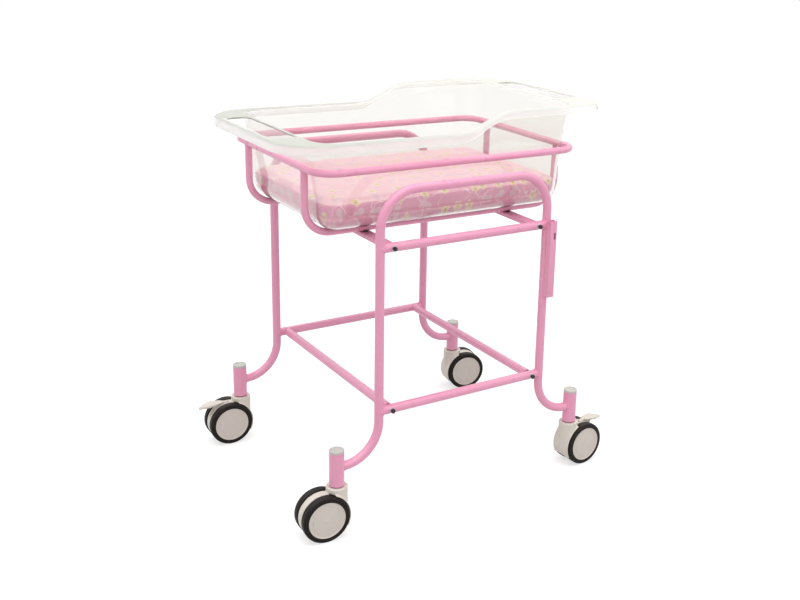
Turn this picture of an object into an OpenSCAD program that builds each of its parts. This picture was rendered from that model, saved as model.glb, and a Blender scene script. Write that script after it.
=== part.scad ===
// Newborn cot for a ward: a clear tray with its mattress, lying in a tubular cradle
// on two bent-tube arches, on four swivelling twin-wheel casters.
// Millimetres. The origin is on the floor under the middle of the frame. +X points
// to the head end, where the tray's rim is high, +Y away from the side with the
// pole socket, and +Z up.

/* [Frame] */
// Half the distance between the two legs of an arch
leg_x = 204; // [190:1:215]
// Half the distance between the front arch and the rear arch
arch_y = 255; // [250:1:265]
// Height of the middle of an arch's top tube
arch_h = 712; // [700:1:760]
// Outer diameter of the arch, crossbar and side bar tubes
tube_d = 19; // [18:0.5:21]
// Wall of the frame tubes
tube_wall = 1.5; // [1.2:0.1:2.5]
// Bend radius of an arch's two upper corners, on the tube's middle
top_bend_r = 80; // [60:1:95]
// Bend radius of the feet, on the tube's middle
foot_bend_r = 80; // [70:1:80]
// Height of the middle of the feet where they meet the caster sockets
foot_z = 148; // [140:1:160]
// Drop from the top tube's middle to the upper crossbars' middle
upper_drop = 114.5; // [110:0.5:125]
// Height of the middle of the lower crossbars and side bars
lower_bar_z = 250; // [245:1:320]
// Distance of the side bars and straps from the middle of the frame
side_bar_x = 178; // [160:1:182]
// Width of the flat straps that carry the cradle
strap_w = 25; // [20:1:30]
// Thickness of the straps
strap_t = 8; // [8:0.5:10]

/* [Bolts] */
// Shank diameter of the bolts into the lower side bars
lower_bolt_d = 8; // [6:1:8]
// Shank diameter of the bolts into the straps
upper_bolt_d = 5; // [4:0.5:6]
// Width across the corners of the bolt heads
bolt_head_d = 10; // [9:0.5:12]
// Height of the bolt heads
bolt_head_h = 4.5; // [4:0.5:7]
// Diameter of the saddle washers
washer_d = 11.5; // [10.5:0.5:15]
// Thickness of a saddle washer where the bolt head presses
washer_t = 2; // [1.5:0.25:3.5]
// Length of the threaded plugs in the ends of the side bars
plug_len = 16; // [12:1:25]
// Shank diameter of the screws that hold the cradle to the straps
cradle_screw_d = 5; // [4:0.5:6]

/* [Cradle] */
// Outer diameter of the cradle's tubes
cradle_d = 15; // [14:0.5:16]
// Wall of the cradle's tubes
cradle_wall = 1.5; // [1:0.1:2]
// Air between the tray's wall and the ring round it
ring_gap = 4; // [3:0.5:6]
// Rise from the rails' middle to the ring's middle
ring_rise = 137; // [125:1:140]
// Corner radius of the ring, on the tube's middle
ring_r = 45; // [40:1:60]
// Distance of each cradle rail from the middle of the frame
rail_y = 139; // [120:1:150]
// Bend radius of the rails
rail_bend_r = 56; // [45:1:60]
// Width of the rubber saddles under the rails
saddle_w = 9; // [8:1:14]
// Thickness of a saddle between strap and rail
saddle_t = 0.8; // [0.5:0.1:2]

/* [Pole socket] */
// Outer side of the square pole socket
pole_side = 16; // [14:0.5:20]
// Wall of the pole socket
pole_wall = 1.5; // [1.2:0.1:2.5]
// Length of the pole socket
pole_len = 172; // [120:1:172]
// Height of its open top above the upper crossbars' middle
pole_rise = 11.5; // [8:0.5:16]
// Height of the slot in its front wall
pole_slot_h = 15; // [12:1:20]
// Width of that slot
pole_slot_w = 4.5; // [4:0.5:6]
// Drop from the socket's top to the slot's lower end
pole_slot_drop = 41; // [30:1:60]
// How far the pole socket stands from the leg's middle towards the head end
pole_shift = 2; // [0:0.5:4]

/* [Tray] */
// Wall of the clear tray
tray_wall = 3; // [2.5:0.25:4]
// Half the length of the tray's base
tray_x = 288; // [284:1:289]
// Half the width of the tray's base
tray_y = 190; // [186:1:191]
// How far each wall leans out for each millimetre of height
tray_flare = 0.1; // [0.06:0.01:0.11]
// Corner radius of the base, seen from above
tray_corner_r = 42; // [41:1:50]
// Radius between floor and walls
tray_floor_r = 36; // [30:1:40]
// Height of the rim at the foot end
rim_low = 186.5; // [175:0.5:205]
// Height of the rim at the head end
rim_high = 227.5; // [215:0.5:245]
// Where the rim starts to climb
rim_step_x = 0; // [-40:1:20]
// Length of the climb
rim_step_len = 128; // [100:1:170]
// Reach of the rim past the wall, along both sides
rim_side = 14.25; // [13.5:0.25:18]
// Reach of the foot handle past the wall
foot_handle = 73.5; // [70:0.5:80]
// Reach of the head handle past the wall
head_handle = 77; // [73:0.5:85]
// Rim corner radius at the foot end
rim_foot_r = 95; // [60:1:100]
// Rim corner radius at the head end
rim_head_r = 66; // [45:1:90]
// Depth of the turned-down lip at the foot end
lip_low = 20; // [12:1:24]
// Depth of the lip at the head end
lip_high = 17; // [12:1:24]
// Length of the hand slots
slot_len = 250; // [200:1:260]
// Width of the hand slots
slot_w = 50; // [40:1:52]
// Corner radius of the hand slots
slot_r = 18; // [10:1:20]
// Distance from a handle's outer edge to its slot
slot_edge = 15; // [13:0.5:17]

/* [Mattress] */
// Air between the mattress and the tray's walls at the base
mattress_gap = 2; // [1.5:0.5:10]
// Height at its edge
mattress_h = 60; // [50:1:70]
// How much its middle stands above the edge
mattress_crown = 6; // [3:1:12]
// How much each side draws in between the corners
mattress_draw = 3.5; // [2:0.5:6]
// Thickness of the cover
cover_t = 1.2; // [0.8:0.1:1.6]
// Length of the cover's zip
zip_len = 240; // [150:5:280]
// Gap between the zip's two edges
zip_gap = 1.5; // [1:0.1:3]

/* [Casters] */
// Half the distance between the swivel axes along X
caster_x = 300; // [299:0.5:303]
// Outer diameter of the caster sockets
socket_d = 31; // [30:0.5:33]
// Wall of the sockets
socket_wall = 2; // [1.5:0.1:2.5]
// Length of the sockets
socket_len = 72; // [68:1:78]
// Rise of the sockets' tops above the middle of the feet
socket_rise = 35; // [32:1:40]
// Height of a socket's cap above the socket
cap_h = 5; // [4:0.5:9]
// Width of the raised rim on each cap
cap_rim = 2.5; // [1.5:0.5:5]
// Depth of the cap's middle below its rim
cap_recess = 1; // [0.5:0.5:2]
// Diameter of the caster stems
stem_d = 12; // [10:0.5:12.5]
// Wheel diameter
wheel_d = 100; // [96:1:102]
// Distance from the swivel axis to the axle
trail = 32; // [30:0.5:34]
// Width of each wheel
wheel_w = 19; // [17:0.5:20]
// Distance between the two wheels of a caster
wheel_gap = 20; // [18:0.5:22]
// Height of the tyre seen from the side
tyre_t = 10.5; // [9:0.5:14]
// Diameter of the axles
axle_d = 8; // [6:0.5:9]
// Diameter of the collar round the stem
collar_d = 45; // [42:0.5:46]
// How far the hood's sides stay back from the wheels' outer faces
hood_inset = 4; // [3:0.5:8]
// Thickness of the hood
hood_t = 2.4; // [2:0.1:3.5]
// Width of a brake pedal's pad
pedal_w = 26; // [22:1:32]
// Reach of the pedals past the axle
pedal_len = 70; // [66:1:74]
// Direction in which the foot end's rear caster trails
angle_foot_rear = 177.5; // [-180:0.5:180]
// Direction in which the foot end's front caster trails
angle_foot_front = 176; // [-180:0.5:180]
// Direction in which the head end's rear caster trails
angle_head_rear = -10; // [-180:0.5:180]
// Direction in which the head end's front caster trails
angle_head_front = 4.5; // [-180:0.5:180]

/* [Hidden] */
$fn = 64;

// Small clearances that the fits share
thread_fit = 0.2;
running_fit = 0.05;
rest_gap = 0.3;
wheel_air = 0.9;
over = 1;

// Colours
frame_pink = [0.93, 0.67, 0.77];
clear_grey = [0.93, 0.93, 0.91, 0.35];
beige = [0.80, 0.76, 0.71];
dark_rubber = [0.16, 0.13, 0.12];
cap_grey = [0.84, 0.84, 0.82];
steel = [0.62, 0.62, 0.63];
black_steel = [0.15, 0.14, 0.15];
mattress_pink = [0.93, 0.76, 0.79];
foam_cream = [0.93, 0.90, 0.80];

// Derived places on the frame
tube_r = tube_d / 2;
bar_inner_y = arch_y - tube_r;
upper_bar_z = arch_h - upper_drop;
strap_top = upper_bar_z + strap_t / 2;
rail_z = strap_top + saddle_t + cradle_d / 2;
tray_z = rail_z + cradle_d / 2 + rest_gap;
floor_z = tray_z + tray_wall;
mattress_z = floor_z + rest_gap;
ring_z = rail_z + ring_rise;
// The ring stands off the leaning wall, bent to whole millimetres
ring_out = tray_flare * (ring_z - tray_z) + cradle_d / 2 + ring_gap;
ring_x = round(tray_x + ring_out);
ring_y = round(tray_y + ring_out);
rail_end_x = ring_x - 2;
pole_top = upper_bar_z + pole_rise;
rim_y = tray_y + tray_flare * rim_high + rim_side;
rim_foot_x = tray_x + tray_flare * rim_low + foot_handle;
rim_head_x = tray_x + tray_flare * rim_high + head_handle;
mattress_len = 2 * (tray_x - tray_wall - mattress_gap);
mattress_w = 2 * (tray_y - tray_wall - mattress_gap);
mattress_r = tray_corner_r - tray_wall - 2 * mattress_gap - 1;
socket_r = socket_d / 2;
socket_bore_r = socket_r - socket_wall;
socket_top = foot_z + socket_rise;
socket_bottom = socket_top - socket_len;
wheel_r = wheel_d / 2;
axle_z = wheel_r;
flange_h = 1.8;
collar_top = socket_bottom - flange_h - 0.4;

// A tube's straight run along +X, drawn solid, for any diameter
module run_x(d, x0, x1, y, z) {
    translate([x0, y, z]) rotate([0, 90, 0]) cylinder(d = d, h = x1 - x0);
}

module run_y(d, y0, y1, x, z) {
    translate([x, y0, z]) rotate([-90, 0, 0]) cylinder(d = d, h = y1 - y0);
}

module run_z(d, z0, z1, x, y) {
    translate([x, y, z0]) cylinder(d = d, h = z1 - z0);
}

// A quarter bend in the XZ plane round the point x, z: from angle a to a + 90
module bend_xz(d, r, x, y, z, a) {
    translate([x, y, z]) rotate([90, 0, 0]) rotate([0, 0, a])
        rotate_extrude(angle = 90) translate([r, 0]) circle(d = d);
}

// A quarter bend in a level plane
module bend_xy(d, r, x, y, z, a) {
    translate([x, y, z]) rotate([0, 0, a])
        rotate_extrude(angle = 90) translate([r, 0]) circle(d = d);
}

// One half of an arch, from its middle to the caster socket
module half_arch(d, y, foot_end) {
    run_x(d, 0, leg_x - top_bend_r, y, arch_h);
    bend_xz(d, top_bend_r, leg_x - top_bend_r, y, arch_h - top_bend_r, 0);
    run_z(d, foot_z + foot_bend_r, arch_h - top_bend_r, leg_x, y);
    bend_xz(d, foot_bend_r, leg_x + foot_bend_r, y, foot_z + foot_bend_r, 180);
    run_x(d, leg_x + foot_bend_r, foot_end, y, foot_z);
}

module arch_rod(d, y, foot_end) {
    half_arch(d, y, foot_end);
    mirror([1, 0, 0]) half_arch(d, y, foot_end);
}

// A bent arch whose feet are coped round the sockets
module arch(y) {
    difference() {
        arch_rod(tube_d, y, caster_x - socket_r / 2);
        arch_rod(tube_d - 2 * tube_wall, y, caster_x);
        for (s = [-1, 1])
            run_z(socket_d, 0, arch_h, s * caster_x, y);
    }
}

module front_arch() {
    color(frame_pink) arch(-arch_y);
}

module rear_arch() {
    color(frame_pink) arch(arch_y);
}

// A crossbar between an arch's legs, coped round them and drilled for its two bolts
module crossbar(y, z, bolt_d) {
    difference() {
        run_x(tube_d, -leg_x, leg_x, y, z);
        run_x(tube_d - 2 * tube_wall, -leg_x - over, leg_x + over, y, z);
        for (s = [-1, 1]) {
            run_z(tube_d, z - tube_d, z + tube_d, s * leg_x, y);
            run_y(bolt_d + 2 * thread_fit, y - tube_d, y + tube_d, s * side_bar_x, z);
        }
    }
}

module front_upper_crossbar() {
    color(frame_pink) crossbar(-arch_y, upper_bar_z, upper_bolt_d);
}

module rear_upper_crossbar() {
    color(frame_pink) crossbar(arch_y, upper_bar_z, upper_bolt_d);
}

module front_lower_crossbar() {
    color(frame_pink) crossbar(-arch_y, lower_bar_z, lower_bolt_d);
}

module rear_lower_crossbar() {
    color(frame_pink) crossbar(arch_y, lower_bar_z, lower_bolt_d);
}

// A lower side bar: a plain tube whose square ends butt against the crossbars
module side_bar(x) {
    difference() {
        run_y(tube_d, -bar_inner_y, bar_inner_y, x, lower_bar_z);
        run_y(tube_d - 2 * tube_wall, -arch_y, arch_y, x, lower_bar_z);
    }
}

module foot_side_bar() {
    color(frame_pink) side_bar(-side_bar_x);
}

module head_side_bar() {
    color(frame_pink) side_bar(side_bar_x);
}

// The threaded plugs in the side bars' ends
module side_bar_plugs() {
    plug_y = bar_inner_y - plug_len;
    color(steel) for (x = [-side_bar_x, side_bar_x]) for (s = [-1, 1])
        scale_side(s) difference() {
            run_y(tube_d - 2 * tube_wall, plug_y, bar_inner_y, x, lower_bar_z);
            run_y(lower_bolt_d, plug_y - over, arch_y, x, lower_bar_z);
        }
}

// Mirrors its child to the side of the frame that s gives: 1 rear, -1 front
module scale_side(s) {
    if (s > 0) children();
    else mirror([0, 1, 0]) children();
}

// A flat strap between the upper crossbars, drilled for its bolts and the screws
module strap(x) {
    hole_len = plug_len + 4;
    difference() {
        translate([x - strap_w / 2, -bar_inner_y, upper_bar_z - strap_t / 2])
            cube([strap_w, 2 * bar_inner_y, strap_t]);
        for (s = [-1, 1]) {
            scale_side(s)
                run_y(upper_bolt_d, bar_inner_y - hole_len, arch_y, x, upper_bar_z);
            run_z(cradle_screw_d + 2 * thread_fit, upper_bar_z - strap_t,
                upper_bar_z + strap_t, x, s * rail_y);
        }
    }
}

module foot_strap() {
    color(frame_pink) strap(-side_bar_x);
}

module head_strap() {
    color(frame_pink) strap(side_bar_x);
}

// Where a bolt head starts, outside the washer
head_y = arch_y + tube_r + washer_t;

// A hexagon-headed bolt along Y on the rear side, its tip at tip_y
module bolt(x, z, d, tip_y) {
    run_y(d, tip_y, head_y, x, z);
    translate([x, head_y, z]) rotate([-90, 0, 0])
        cylinder(d = bolt_head_d, h = bolt_head_h, $fn = 6);
}

module lower_bolts() {
    color(black_steel) for (x = [-side_bar_x, side_bar_x]) for (s = [-1, 1])
        scale_side(s) bolt(x, lower_bar_z, lower_bolt_d, bar_inner_y - plug_len + 2);
}

module upper_bolts() {
    color(black_steel) for (x = [-side_bar_x, side_bar_x]) for (s = [-1, 1])
        scale_side(s) bolt(x, upper_bar_z, upper_bolt_d, bar_inner_y - plug_len);
}

// A washer whose inner face fits the round crossbar
module saddle_washer(x, z, d) {
    difference() {
        run_y(washer_d, arch_y + tube_r / 2, head_y, x, z);
        run_x(tube_d, x - washer_d, x + washer_d, arch_y, z);
        run_y(d + 2 * thread_fit, arch_y, head_y + over, x, z);
    }
}

module saddle_washers() {
    color(steel) for (x = [-side_bar_x, side_bar_x]) for (s = [-1, 1])
        scale_side(s) {
            saddle_washer(x, lower_bar_z, lower_bolt_d);
            saddle_washer(x, upper_bar_z, upper_bolt_d);
        }
}

// The ring drawn as a solid rod of diameter d
module ring_rod(d) {
    straight_x = ring_x - ring_r;
    straight_y = ring_y - ring_r;
    for (s = [-1, 1]) {
        run_x(d, -straight_x, straight_x, s * ring_y, ring_z);
        run_y(d, -straight_y, straight_y, s * ring_x, ring_z);
    }
    bend_xy(d, ring_r, straight_x, straight_y, ring_z, 0);
    bend_xy(d, ring_r, -straight_x, straight_y, ring_z, 90);
    bend_xy(d, ring_r, -straight_x, -straight_y, ring_z, 180);
    bend_xy(d, ring_r, straight_x, -straight_y, ring_z, 270);
}

module cradle_ring() {
    color(frame_pink) difference() {
        ring_rod(cradle_d);
        ring_rod(cradle_d - 2 * cradle_wall);
    }
}

// One half of a cradle rail as a rod, from its middle up to the height top
module half_rail(d, y, top) {
    bend_x = rail_end_x - rail_bend_r;
    run_x(d, 0, bend_x, y, rail_z);
    bend_xz(d, rail_bend_r, bend_x, y, rail_z + rail_bend_r, 270);
    run_z(d, rail_z + rail_bend_r, top, rail_end_x, y);
}

module rail_rod(d, y, top) {
    half_rail(d, y, top);
    mirror([1, 0, 0]) half_rail(d, y, top);
}

// A U-shaped rail whose upright ends are coped to the ring's underside
module cradle_rail(y) {
    difference() {
        rail_rod(cradle_d, y, ring_z - cradle_d / 4);
        rail_rod(cradle_d - 2 * cradle_wall, y, ring_z);
        for (s = [-1, 1]) {
            run_y(cradle_d, y - cradle_d, y + cradle_d, s * ring_x, ring_z);
            run_z(cradle_screw_d, strap_top - over, rail_z, s * side_bar_x, y);
        }
    }
}

module front_cradle_rail() {
    color(frame_pink) cradle_rail(-rail_y);
}

module rear_cradle_rail() {
    color(frame_pink) cradle_rail(rail_y);
}

// The rubber saddles between straps and rails, hollowed to the rail's round
module rail_saddles() {
    saddle_len = cradle_d + 1;
    saddle_h = cradle_d / 4;
    color(dark_rubber) for (x = [-side_bar_x, side_bar_x]) for (y = [-rail_y, rail_y])
        difference() {
            translate([x - saddle_w / 2, y - saddle_len / 2, strap_top])
                cube([saddle_w, saddle_len, saddle_h]);
            run_x(cradle_d, x - saddle_w, x + saddle_w, y, rail_z);
            run_z(cradle_screw_d + 2 * thread_fit, strap_top - over,
                rail_z, x, y);
        }
}

// The screws that come up through the straps into the rails
module cradle_screws() {
    head_h = 3.5;
    under = upper_bar_z - strap_t / 2;
    color(black_steel) for (x = [-side_bar_x, side_bar_x]) for (y = [-rail_y, rail_y]) {
        run_z(cradle_screw_d, under, rail_z - 3, x, y);
        run_z(2 * cradle_screw_d, under - head_h, under, x, y);
    }
}

// The square socket for a drip pole, welded on the front of the leg at the head end
module pole_socket() {
    x0 = leg_x + pole_shift - pole_side / 2;
    y0 = -arch_y - tube_r - pole_side;
    inner = pole_side - 2 * pole_wall;
    slot_x = x0 + pole_side - pole_wall - pole_slot_w - 1;
    color(frame_pink) difference() {
        translate([x0, y0, pole_top - pole_len]) cube([pole_side, pole_side, pole_len]);
        translate([x0 + pole_wall, y0 + pole_wall, pole_top - pole_len - over])
            cube([inner, inner, pole_len + 2 * over]);
        translate([slot_x, y0 - over, pole_top - pole_slot_drop])
            cube([pole_slot_w, pole_wall + 2 * over, pole_slot_h]);
    }
}

// Places its child on each of the four swivel axes
module at_each_socket() {
    for (x = [-caster_x, caster_x]) for (y = [-arch_y, arch_y])
        translate([x, y, 0]) children();
}

module caster_sockets() {
    color(frame_pink) at_each_socket() difference() {
        run_z(socket_d, socket_bottom, socket_top, 0, 0);
        run_z(2 * socket_bore_r, socket_bottom - over, socket_top + over, 0, 0);
    }
}

// The plastic caps that close the sockets, each with a plug and a raised rim
module socket_caps() {
    cap_top = socket_top + cap_h;
    color(cap_grey) at_each_socket() difference() {
        union() {
            run_z(2 * socket_bore_r, socket_top - 9, socket_top, 0, 0);
            run_z(socket_d, socket_top, cap_top, 0, 0);
        }
        run_z(socket_d - 2 * cap_rim, cap_top - cap_recess, cap_top + over, 0, 0);
    }
}

sleeve_top = socket_top - 13;
stem_bottom = collar_top - 22;

// The steel stems on which the casters swivel
module caster_stems() {
    color(steel) at_each_socket() run_z(stem_d, stem_bottom, sleeve_top + 2, 0, 0);
}

// The expanding sleeves that hold the stems in the sockets
module stem_sleeves() {
    color(dark_rubber) at_each_socket() difference() {
        union() {
            run_z(2 * socket_bore_r, socket_bottom, sleeve_top, 0, 0);
            run_z(socket_d - 2, socket_bottom - flange_h, socket_bottom, 0, 0);
        }
        run_z(stem_d, socket_bottom - flange_h - over, sleeve_top + over, 0, 0);
    }
}

// How far the rim has climbed at x, from 0 at the foot end to 1 at the head end
function climb(x) = let (t = min(1, max(0, (x - rim_step_x) / rim_step_len)))
    t * t * (3 - 2 * t);
function rim_at(x) = rim_low + (rim_high - rim_low) * climb(x);
function lip_at(x) = let (c = climb(x))
    lip_low + (lip_high - lip_low) * c - 4 * 6 * c * (1 - c);

// A rounded outline seen from above, the same stations on every outline: back is its
// reach to -X, ahead its reach to +X, side half its width; steps points an arc
function arc(cx, cy, r, a0, steps) =
    [for (i = [0 : steps]) [cx + r * cos(a0 + 90 * i / steps),
        cy + r * sin(a0 + 90 * i / steps)]];
function outline(back, ahead, side, r_back, r_ahead, xs, ys, steps) = concat(
    arc(ahead - r_ahead, side - r_ahead, r_ahead, 0, steps),
    [for (i = [len(xs) - 1 : -1 : 0]) [xs[i], side]],
    arc(-back + r_back, side - r_back, r_back, 90, steps),
    [for (i = [len(ys) - 1 : -1 : 0]) [-back, ys[i]]],
    arc(-back + r_back, -side + r_back, r_back, 180, steps),
    [for (x = xs) [x, -side]],
    arc(ahead - r_ahead, -side + r_ahead, r_ahead, 270, steps),
    [for (y = ys) [ahead, y]]
);

// Joins rings of equal length into one closed skin, each end a fan of triangles
function middle(ring) = [0, 0, ring[0][2]];
module skin(rings) {
    n = len(rings[0]);
    bands = len(rings) - 1;
    first = (bands + 1) * n;
    polyhedron(
        points = concat([for (ring = rings) for (p = ring) p],
            [middle(rings[0]), middle(rings[bands])]),
        faces = concat(
            [for (i = [0 : n - 1]) [first, i, (i + 1) % n]],
            [for (k = [0 : bands - 1]) for (i = [0 : n - 1])
                let (j = (i + 1) % n) [k * n + i, (k + 1) * n + j, k * n + j]],
            [for (k = [0 : bands - 1]) for (i = [0 : n - 1])
                let (j = (i + 1) % n) [k * n + i, (k + 1) * n + i, (k + 1) * n + j]],
            [for (i = [0 : n - 1])
                [first + 1, bands * n + (i + 1) % n, bands * n + i]]
        )
    );
}

// Stations along the tray's sides: close together where the rim climbs
climb_steps = 8;
tray_xs = concat([-0.7 * tray_x, -0.3 * tray_x],
    [for (i = [0 : climb_steps]) rim_step_x + rim_step_len * i / climb_steps],
    [0.65 * tray_x]);
tray_ys = [0];
tray_steps = 6;
roll_r = 6;
edge_r = 5;

// The tray's wall, a height h above its base, taken in by inset
function wall_outline(h, inset) =
    let (x = tray_x + tray_flare * h - inset,
        y = tray_y + tray_flare * h - inset,
        r = tray_corner_r + tray_flare * h / 2 - inset)
    outline(x, x, y, r, r, tray_xs, tray_ys, tray_steps);
function rim_outline(inset) =
    outline(rim_foot_x - inset, rim_head_x - inset, rim_y - inset,
        rim_foot_r - inset, rim_head_r - inset, tray_xs, tray_ys, tray_steps);
top_wall = wall_outline(rim_low, 0);
station_rim = [for (p = top_wall) rim_at(p[0])];
station_lip = [for (p = top_wall) lip_at(p[0])];
stations = len(top_wall);

// A ring of the wall whose inset is the same all round and whose height is level
function level_ring(h, inset) = [for (p = wall_outline(h, inset)) [p[0], p[1], tray_z + h]];
// A ring of the wall a depth below the climbing rim
function wall_ring(depth, inset) = [for (i = [0 : stations - 1])
    let (h = station_rim[i] - depth, p = wall_outline(h, inset)[i])
        [p[0], p[1], tray_z + h]];
// A ring on the rim's own outline; below is one depth, or a depth at each station
function rim_ring(below, inset) = let (line = rim_outline(inset))
    [for (i = [0 : stations - 1])
        let (depth = is_list(below) ? below[i] : below)
            [line[i][0], line[i][1], tray_z + station_rim[i] - depth]];

corner_angles = [0 : 22.5 : 90];
// The floor's rounded edge, from the flat to the wall: radius r, lifted by rise
function floor_rings(r, rise) = [for (a = corner_angles)
    level_ring(rise + r * (1 - cos(a)), rise + r * (1 - sin(a)))];
// The bend from wall to rim, from the wall up: radius r, a depth below the top face
function roll_rings(r, depth) = [for (a = [0 : 30 : 90])
    wall_ring(depth + r * (1 - sin(a)), tray_wall - depth - r * (1 - cos(a)))];
// The rim's rounded outer edge, from its top face to its side
function edge_rings(r, depth) = [for (a = [0 : 30 : 90])
    rim_ring(depth + r * (1 - cos(a)), depth + r * (1 - sin(a)))];
function reversed(list) = [for (i = [len(list) - 1 : -1 : 0]) list[i]];
lip_depths = [for (i = [0 : stations - 1]) station_lip[i]];

// The clear tray: inner floor, inner wall, rim, lip, and back down the outside
module tray_shell() {
    skin(reversed(concat(
        floor_rings(tray_floor_r - tray_wall, tray_wall),
        roll_rings(roll_r, 0),
        edge_rings(edge_r, 0),
        [rim_ring(lip_depths, 0), rim_ring(lip_depths, tray_wall)],
        reversed(edge_rings(edge_r - tray_wall, tray_wall)),
        reversed(roll_rings(roll_r - tray_wall, tray_wall)),
        reversed(floor_rings(tray_floor_r, 0))
    )));
}

// A hand slot from x0 to x0 + slot_w, cut down through a handle's top face
module hand_slot(x0, z) {
    translate([x0 + slot_r, -slot_len / 2 + slot_r, z - 10]) linear_extrude(20) {
        translate([0, -slot_r]) square([slot_w - 2 * slot_r, slot_len]);
        translate([-slot_r, 0]) square([slot_w, slot_len - 2 * slot_r]);
        for (x = [0, slot_w - 2 * slot_r]) for (y = [0, slot_len - 2 * slot_r])
            translate([x, y]) circle(r = slot_r, $fn = 32);
    }
}

foot_slot_x = -rim_foot_x + slot_edge;
head_slot_x = rim_head_x - slot_edge - slot_w;

module tray() {
    color(clear_grey) difference() {
        tray_shell();
        hand_slot(foot_slot_x, tray_z + rim_low);
        hand_slot(head_slot_x, tray_z + rim_high);
    }
}

// Stations of the mattress and the draw of its sides between the corners
mattress_xs = [for (i = [-2 : 2]) i * mattress_len * 0.175];
mattress_ys = [for (i = [-1 : 1]) i * mattress_w * 0.2];
mattress_steps = 5;
half_len = mattress_len / 2;
half_w = mattress_w / 2;
side_in = 1.5;
seam_h = mattress_h * 0.45;
function drawn(p, amount) = [
    p[0] - sign(p[0]) * (abs(p[0]) > half_len - mattress_r - 40 ?
        amount * cos(90 * min(1, abs(p[1]) / (half_w - mattress_r))) : 0),
    p[1] - sign(p[1]) * (abs(p[1]) > half_w - mattress_r - 40 ?
        amount * cos(90 * min(1, abs(p[0]) / (half_len - mattress_r))) : 0)
];

// A ring of the mattress at height h. It leans out with the tray's walls, less inset.
function pad_ring(h, inset, amount) =
    let (back = inset - tray_flare * h, r = max(3, mattress_r - back))
    [for (p = outline(half_len - back, half_len - back, half_w - back, r, r,
        mattress_xs * (1 - back / half_len), mattress_ys * (1 - back / half_w),
        mattress_steps))
        let (q = drawn(p, amount)) [q[0], q[1], mattress_z + h]];

// The cushion form, taken in by t all round: a round lower edge that follows the
// tray's floor, a piped seam, a softer upper edge, and a crown
module cushion(t) {
    h = mattress_h;
    low_r = tray_floor_r - tray_wall - 1 - t;
    top_r = 14 - t;
    low = [for (a = [0 : 22.5 : 67.5])
        pad_ring(t + low_r * (1 - cos(a)), t + side_in + low_r * (1 - sin(a)), 0)];
    seam = [pad_ring(seam_h - 3, t + side_in + 0.8, mattress_draw / 2),
        pad_ring(seam_h, t, mattress_draw / 2),
        pad_ring(seam_h + 3, t + side_in, mattress_draw)];
    top = [for (a = [0 : 30 : 90])
        pad_ring(h - t - top_r * (1 - sin(a)), t + side_in + top_r * (1 - cos(a)),
            mattress_draw)];
    crown = [for (k = [0.35, 0.7])
        pad_ring(h - t + mattress_crown * sin(90 * k), t + 18 + k * (half_w - 40), 0)];
    skin(concat(low, seam, top, crown));
}

// The cover is open along its zip, at the head end
module mattress_cover() {
    color(mattress_pink) difference() {
        cushion(0);
        cushion(cover_t);
        translate([half_len - 3 * mattress_draw, -zip_len / 2, mattress_z + seam_h + 5])
            cube([6 * mattress_draw, zip_len, zip_gap]);
    }
}

module mattress_foam() {
    color(foam_cream) cushion(cover_t + rest_gap);
}

// Stands its child on a swivel axis, turned so that it trails in direction a
module on_swivel(x, y, a) {
    translate([x, y, 0]) rotate([0, 0, a]) children();
}

module at_foot_rear() {
    on_swivel(-caster_x, arch_y, angle_foot_rear) children();
}

module at_foot_front() {
    on_swivel(-caster_x, -arch_y, angle_foot_front) children();
}

module at_head_rear() {
    on_swivel(caster_x, arch_y, angle_head_rear) children();
}

module at_head_front() {
    on_swivel(caster_x, -arch_y, angle_head_front) children();
}

// The web between the wheels fills their gap with a little air on each side
web_w = wheel_gap - 2 * wheel_air;
hood_inner_r = wheel_r + 1.5 * wheel_air;
hood_r = hood_inner_r + hood_t;
hood_w = wheel_gap + 2 * (wheel_w - hood_inset);
web_r = wheel_r - 1.5;
web_bottom = 9;
hood_top = collar_top - 8;
hood_low_angle = 28;

// A disc in the caster's middle plane, w wide, round the axle
module disc_y(r, w) {
    translate([trail, w / 2, axle_z]) rotate([90, 0, 0]) cylinder(r = r, h = w, $fn = 96);
}

// The space above the hood's lower edge, which slopes down ahead of the axle
module hood_zone() {
    translate([trail, 0, axle_z]) rotate([0, -hood_low_angle, 0])
        translate([-2 * wheel_r, -wheel_r, 0]) cube([4 * wheel_r, wheel_d, 2 * wheel_r]);
}

// The pivot of the brake pedals and the room that their arms need
pedal_pivot_x = trail + 0.2 * wheel_r;
pedal_pivot_z = axle_z + 0.6 * wheel_r;
pedal_pin_d = 5;
arm_w = 9;

module caster_body() {
    difference() {
        union() {
            run_z(collar_d, axle_z, collar_top, 0, 0);
            difference() {
                disc_y(web_r, web_w);
                translate([-wheel_r, -wheel_r, 0]) cube([3 * wheel_r, wheel_d, web_bottom]);
            }
            intersection() {
                union() {
                    disc_y(hood_r, web_w);
                    difference() {
                        disc_y(hood_r, hood_w);
                        disc_y(hood_inner_r, hood_w + 2);
                    }
                }
                hood_zone();
                translate([-2 * wheel_r, -wheel_r, 0])
                    cube([2 * wheel_r + collar_d / 4, wheel_d, hood_top]);
            }
        }
        for (s = [-1, 1])
            translate([0, s * (web_w / 2 + wheel_r / 2), 0]) disc_y(hood_inner_r, wheel_r);
        run_z(stem_d + 2 * running_fit, stem_bottom - rest_gap, collar_top + over, 0, 0);
        disc_y(axle_d / 2, wheel_d);
    }
}

// The body of a caster with a brake: slotted for the pedal's arm and drilled for its pin
module braked_body() {
    difference() {
        caster_body();
        translate([trail - 3, -arm_w / 2 - 0.4, axle_z + 16])
            cube([wheel_r, arm_w + 0.8, wheel_r]);
        translate([pedal_pivot_x, wheel_r, pedal_pivot_z]) rotate([90, 0, 0])
            cylinder(d = pedal_pin_d, h = wheel_d);
    }
}

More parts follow.
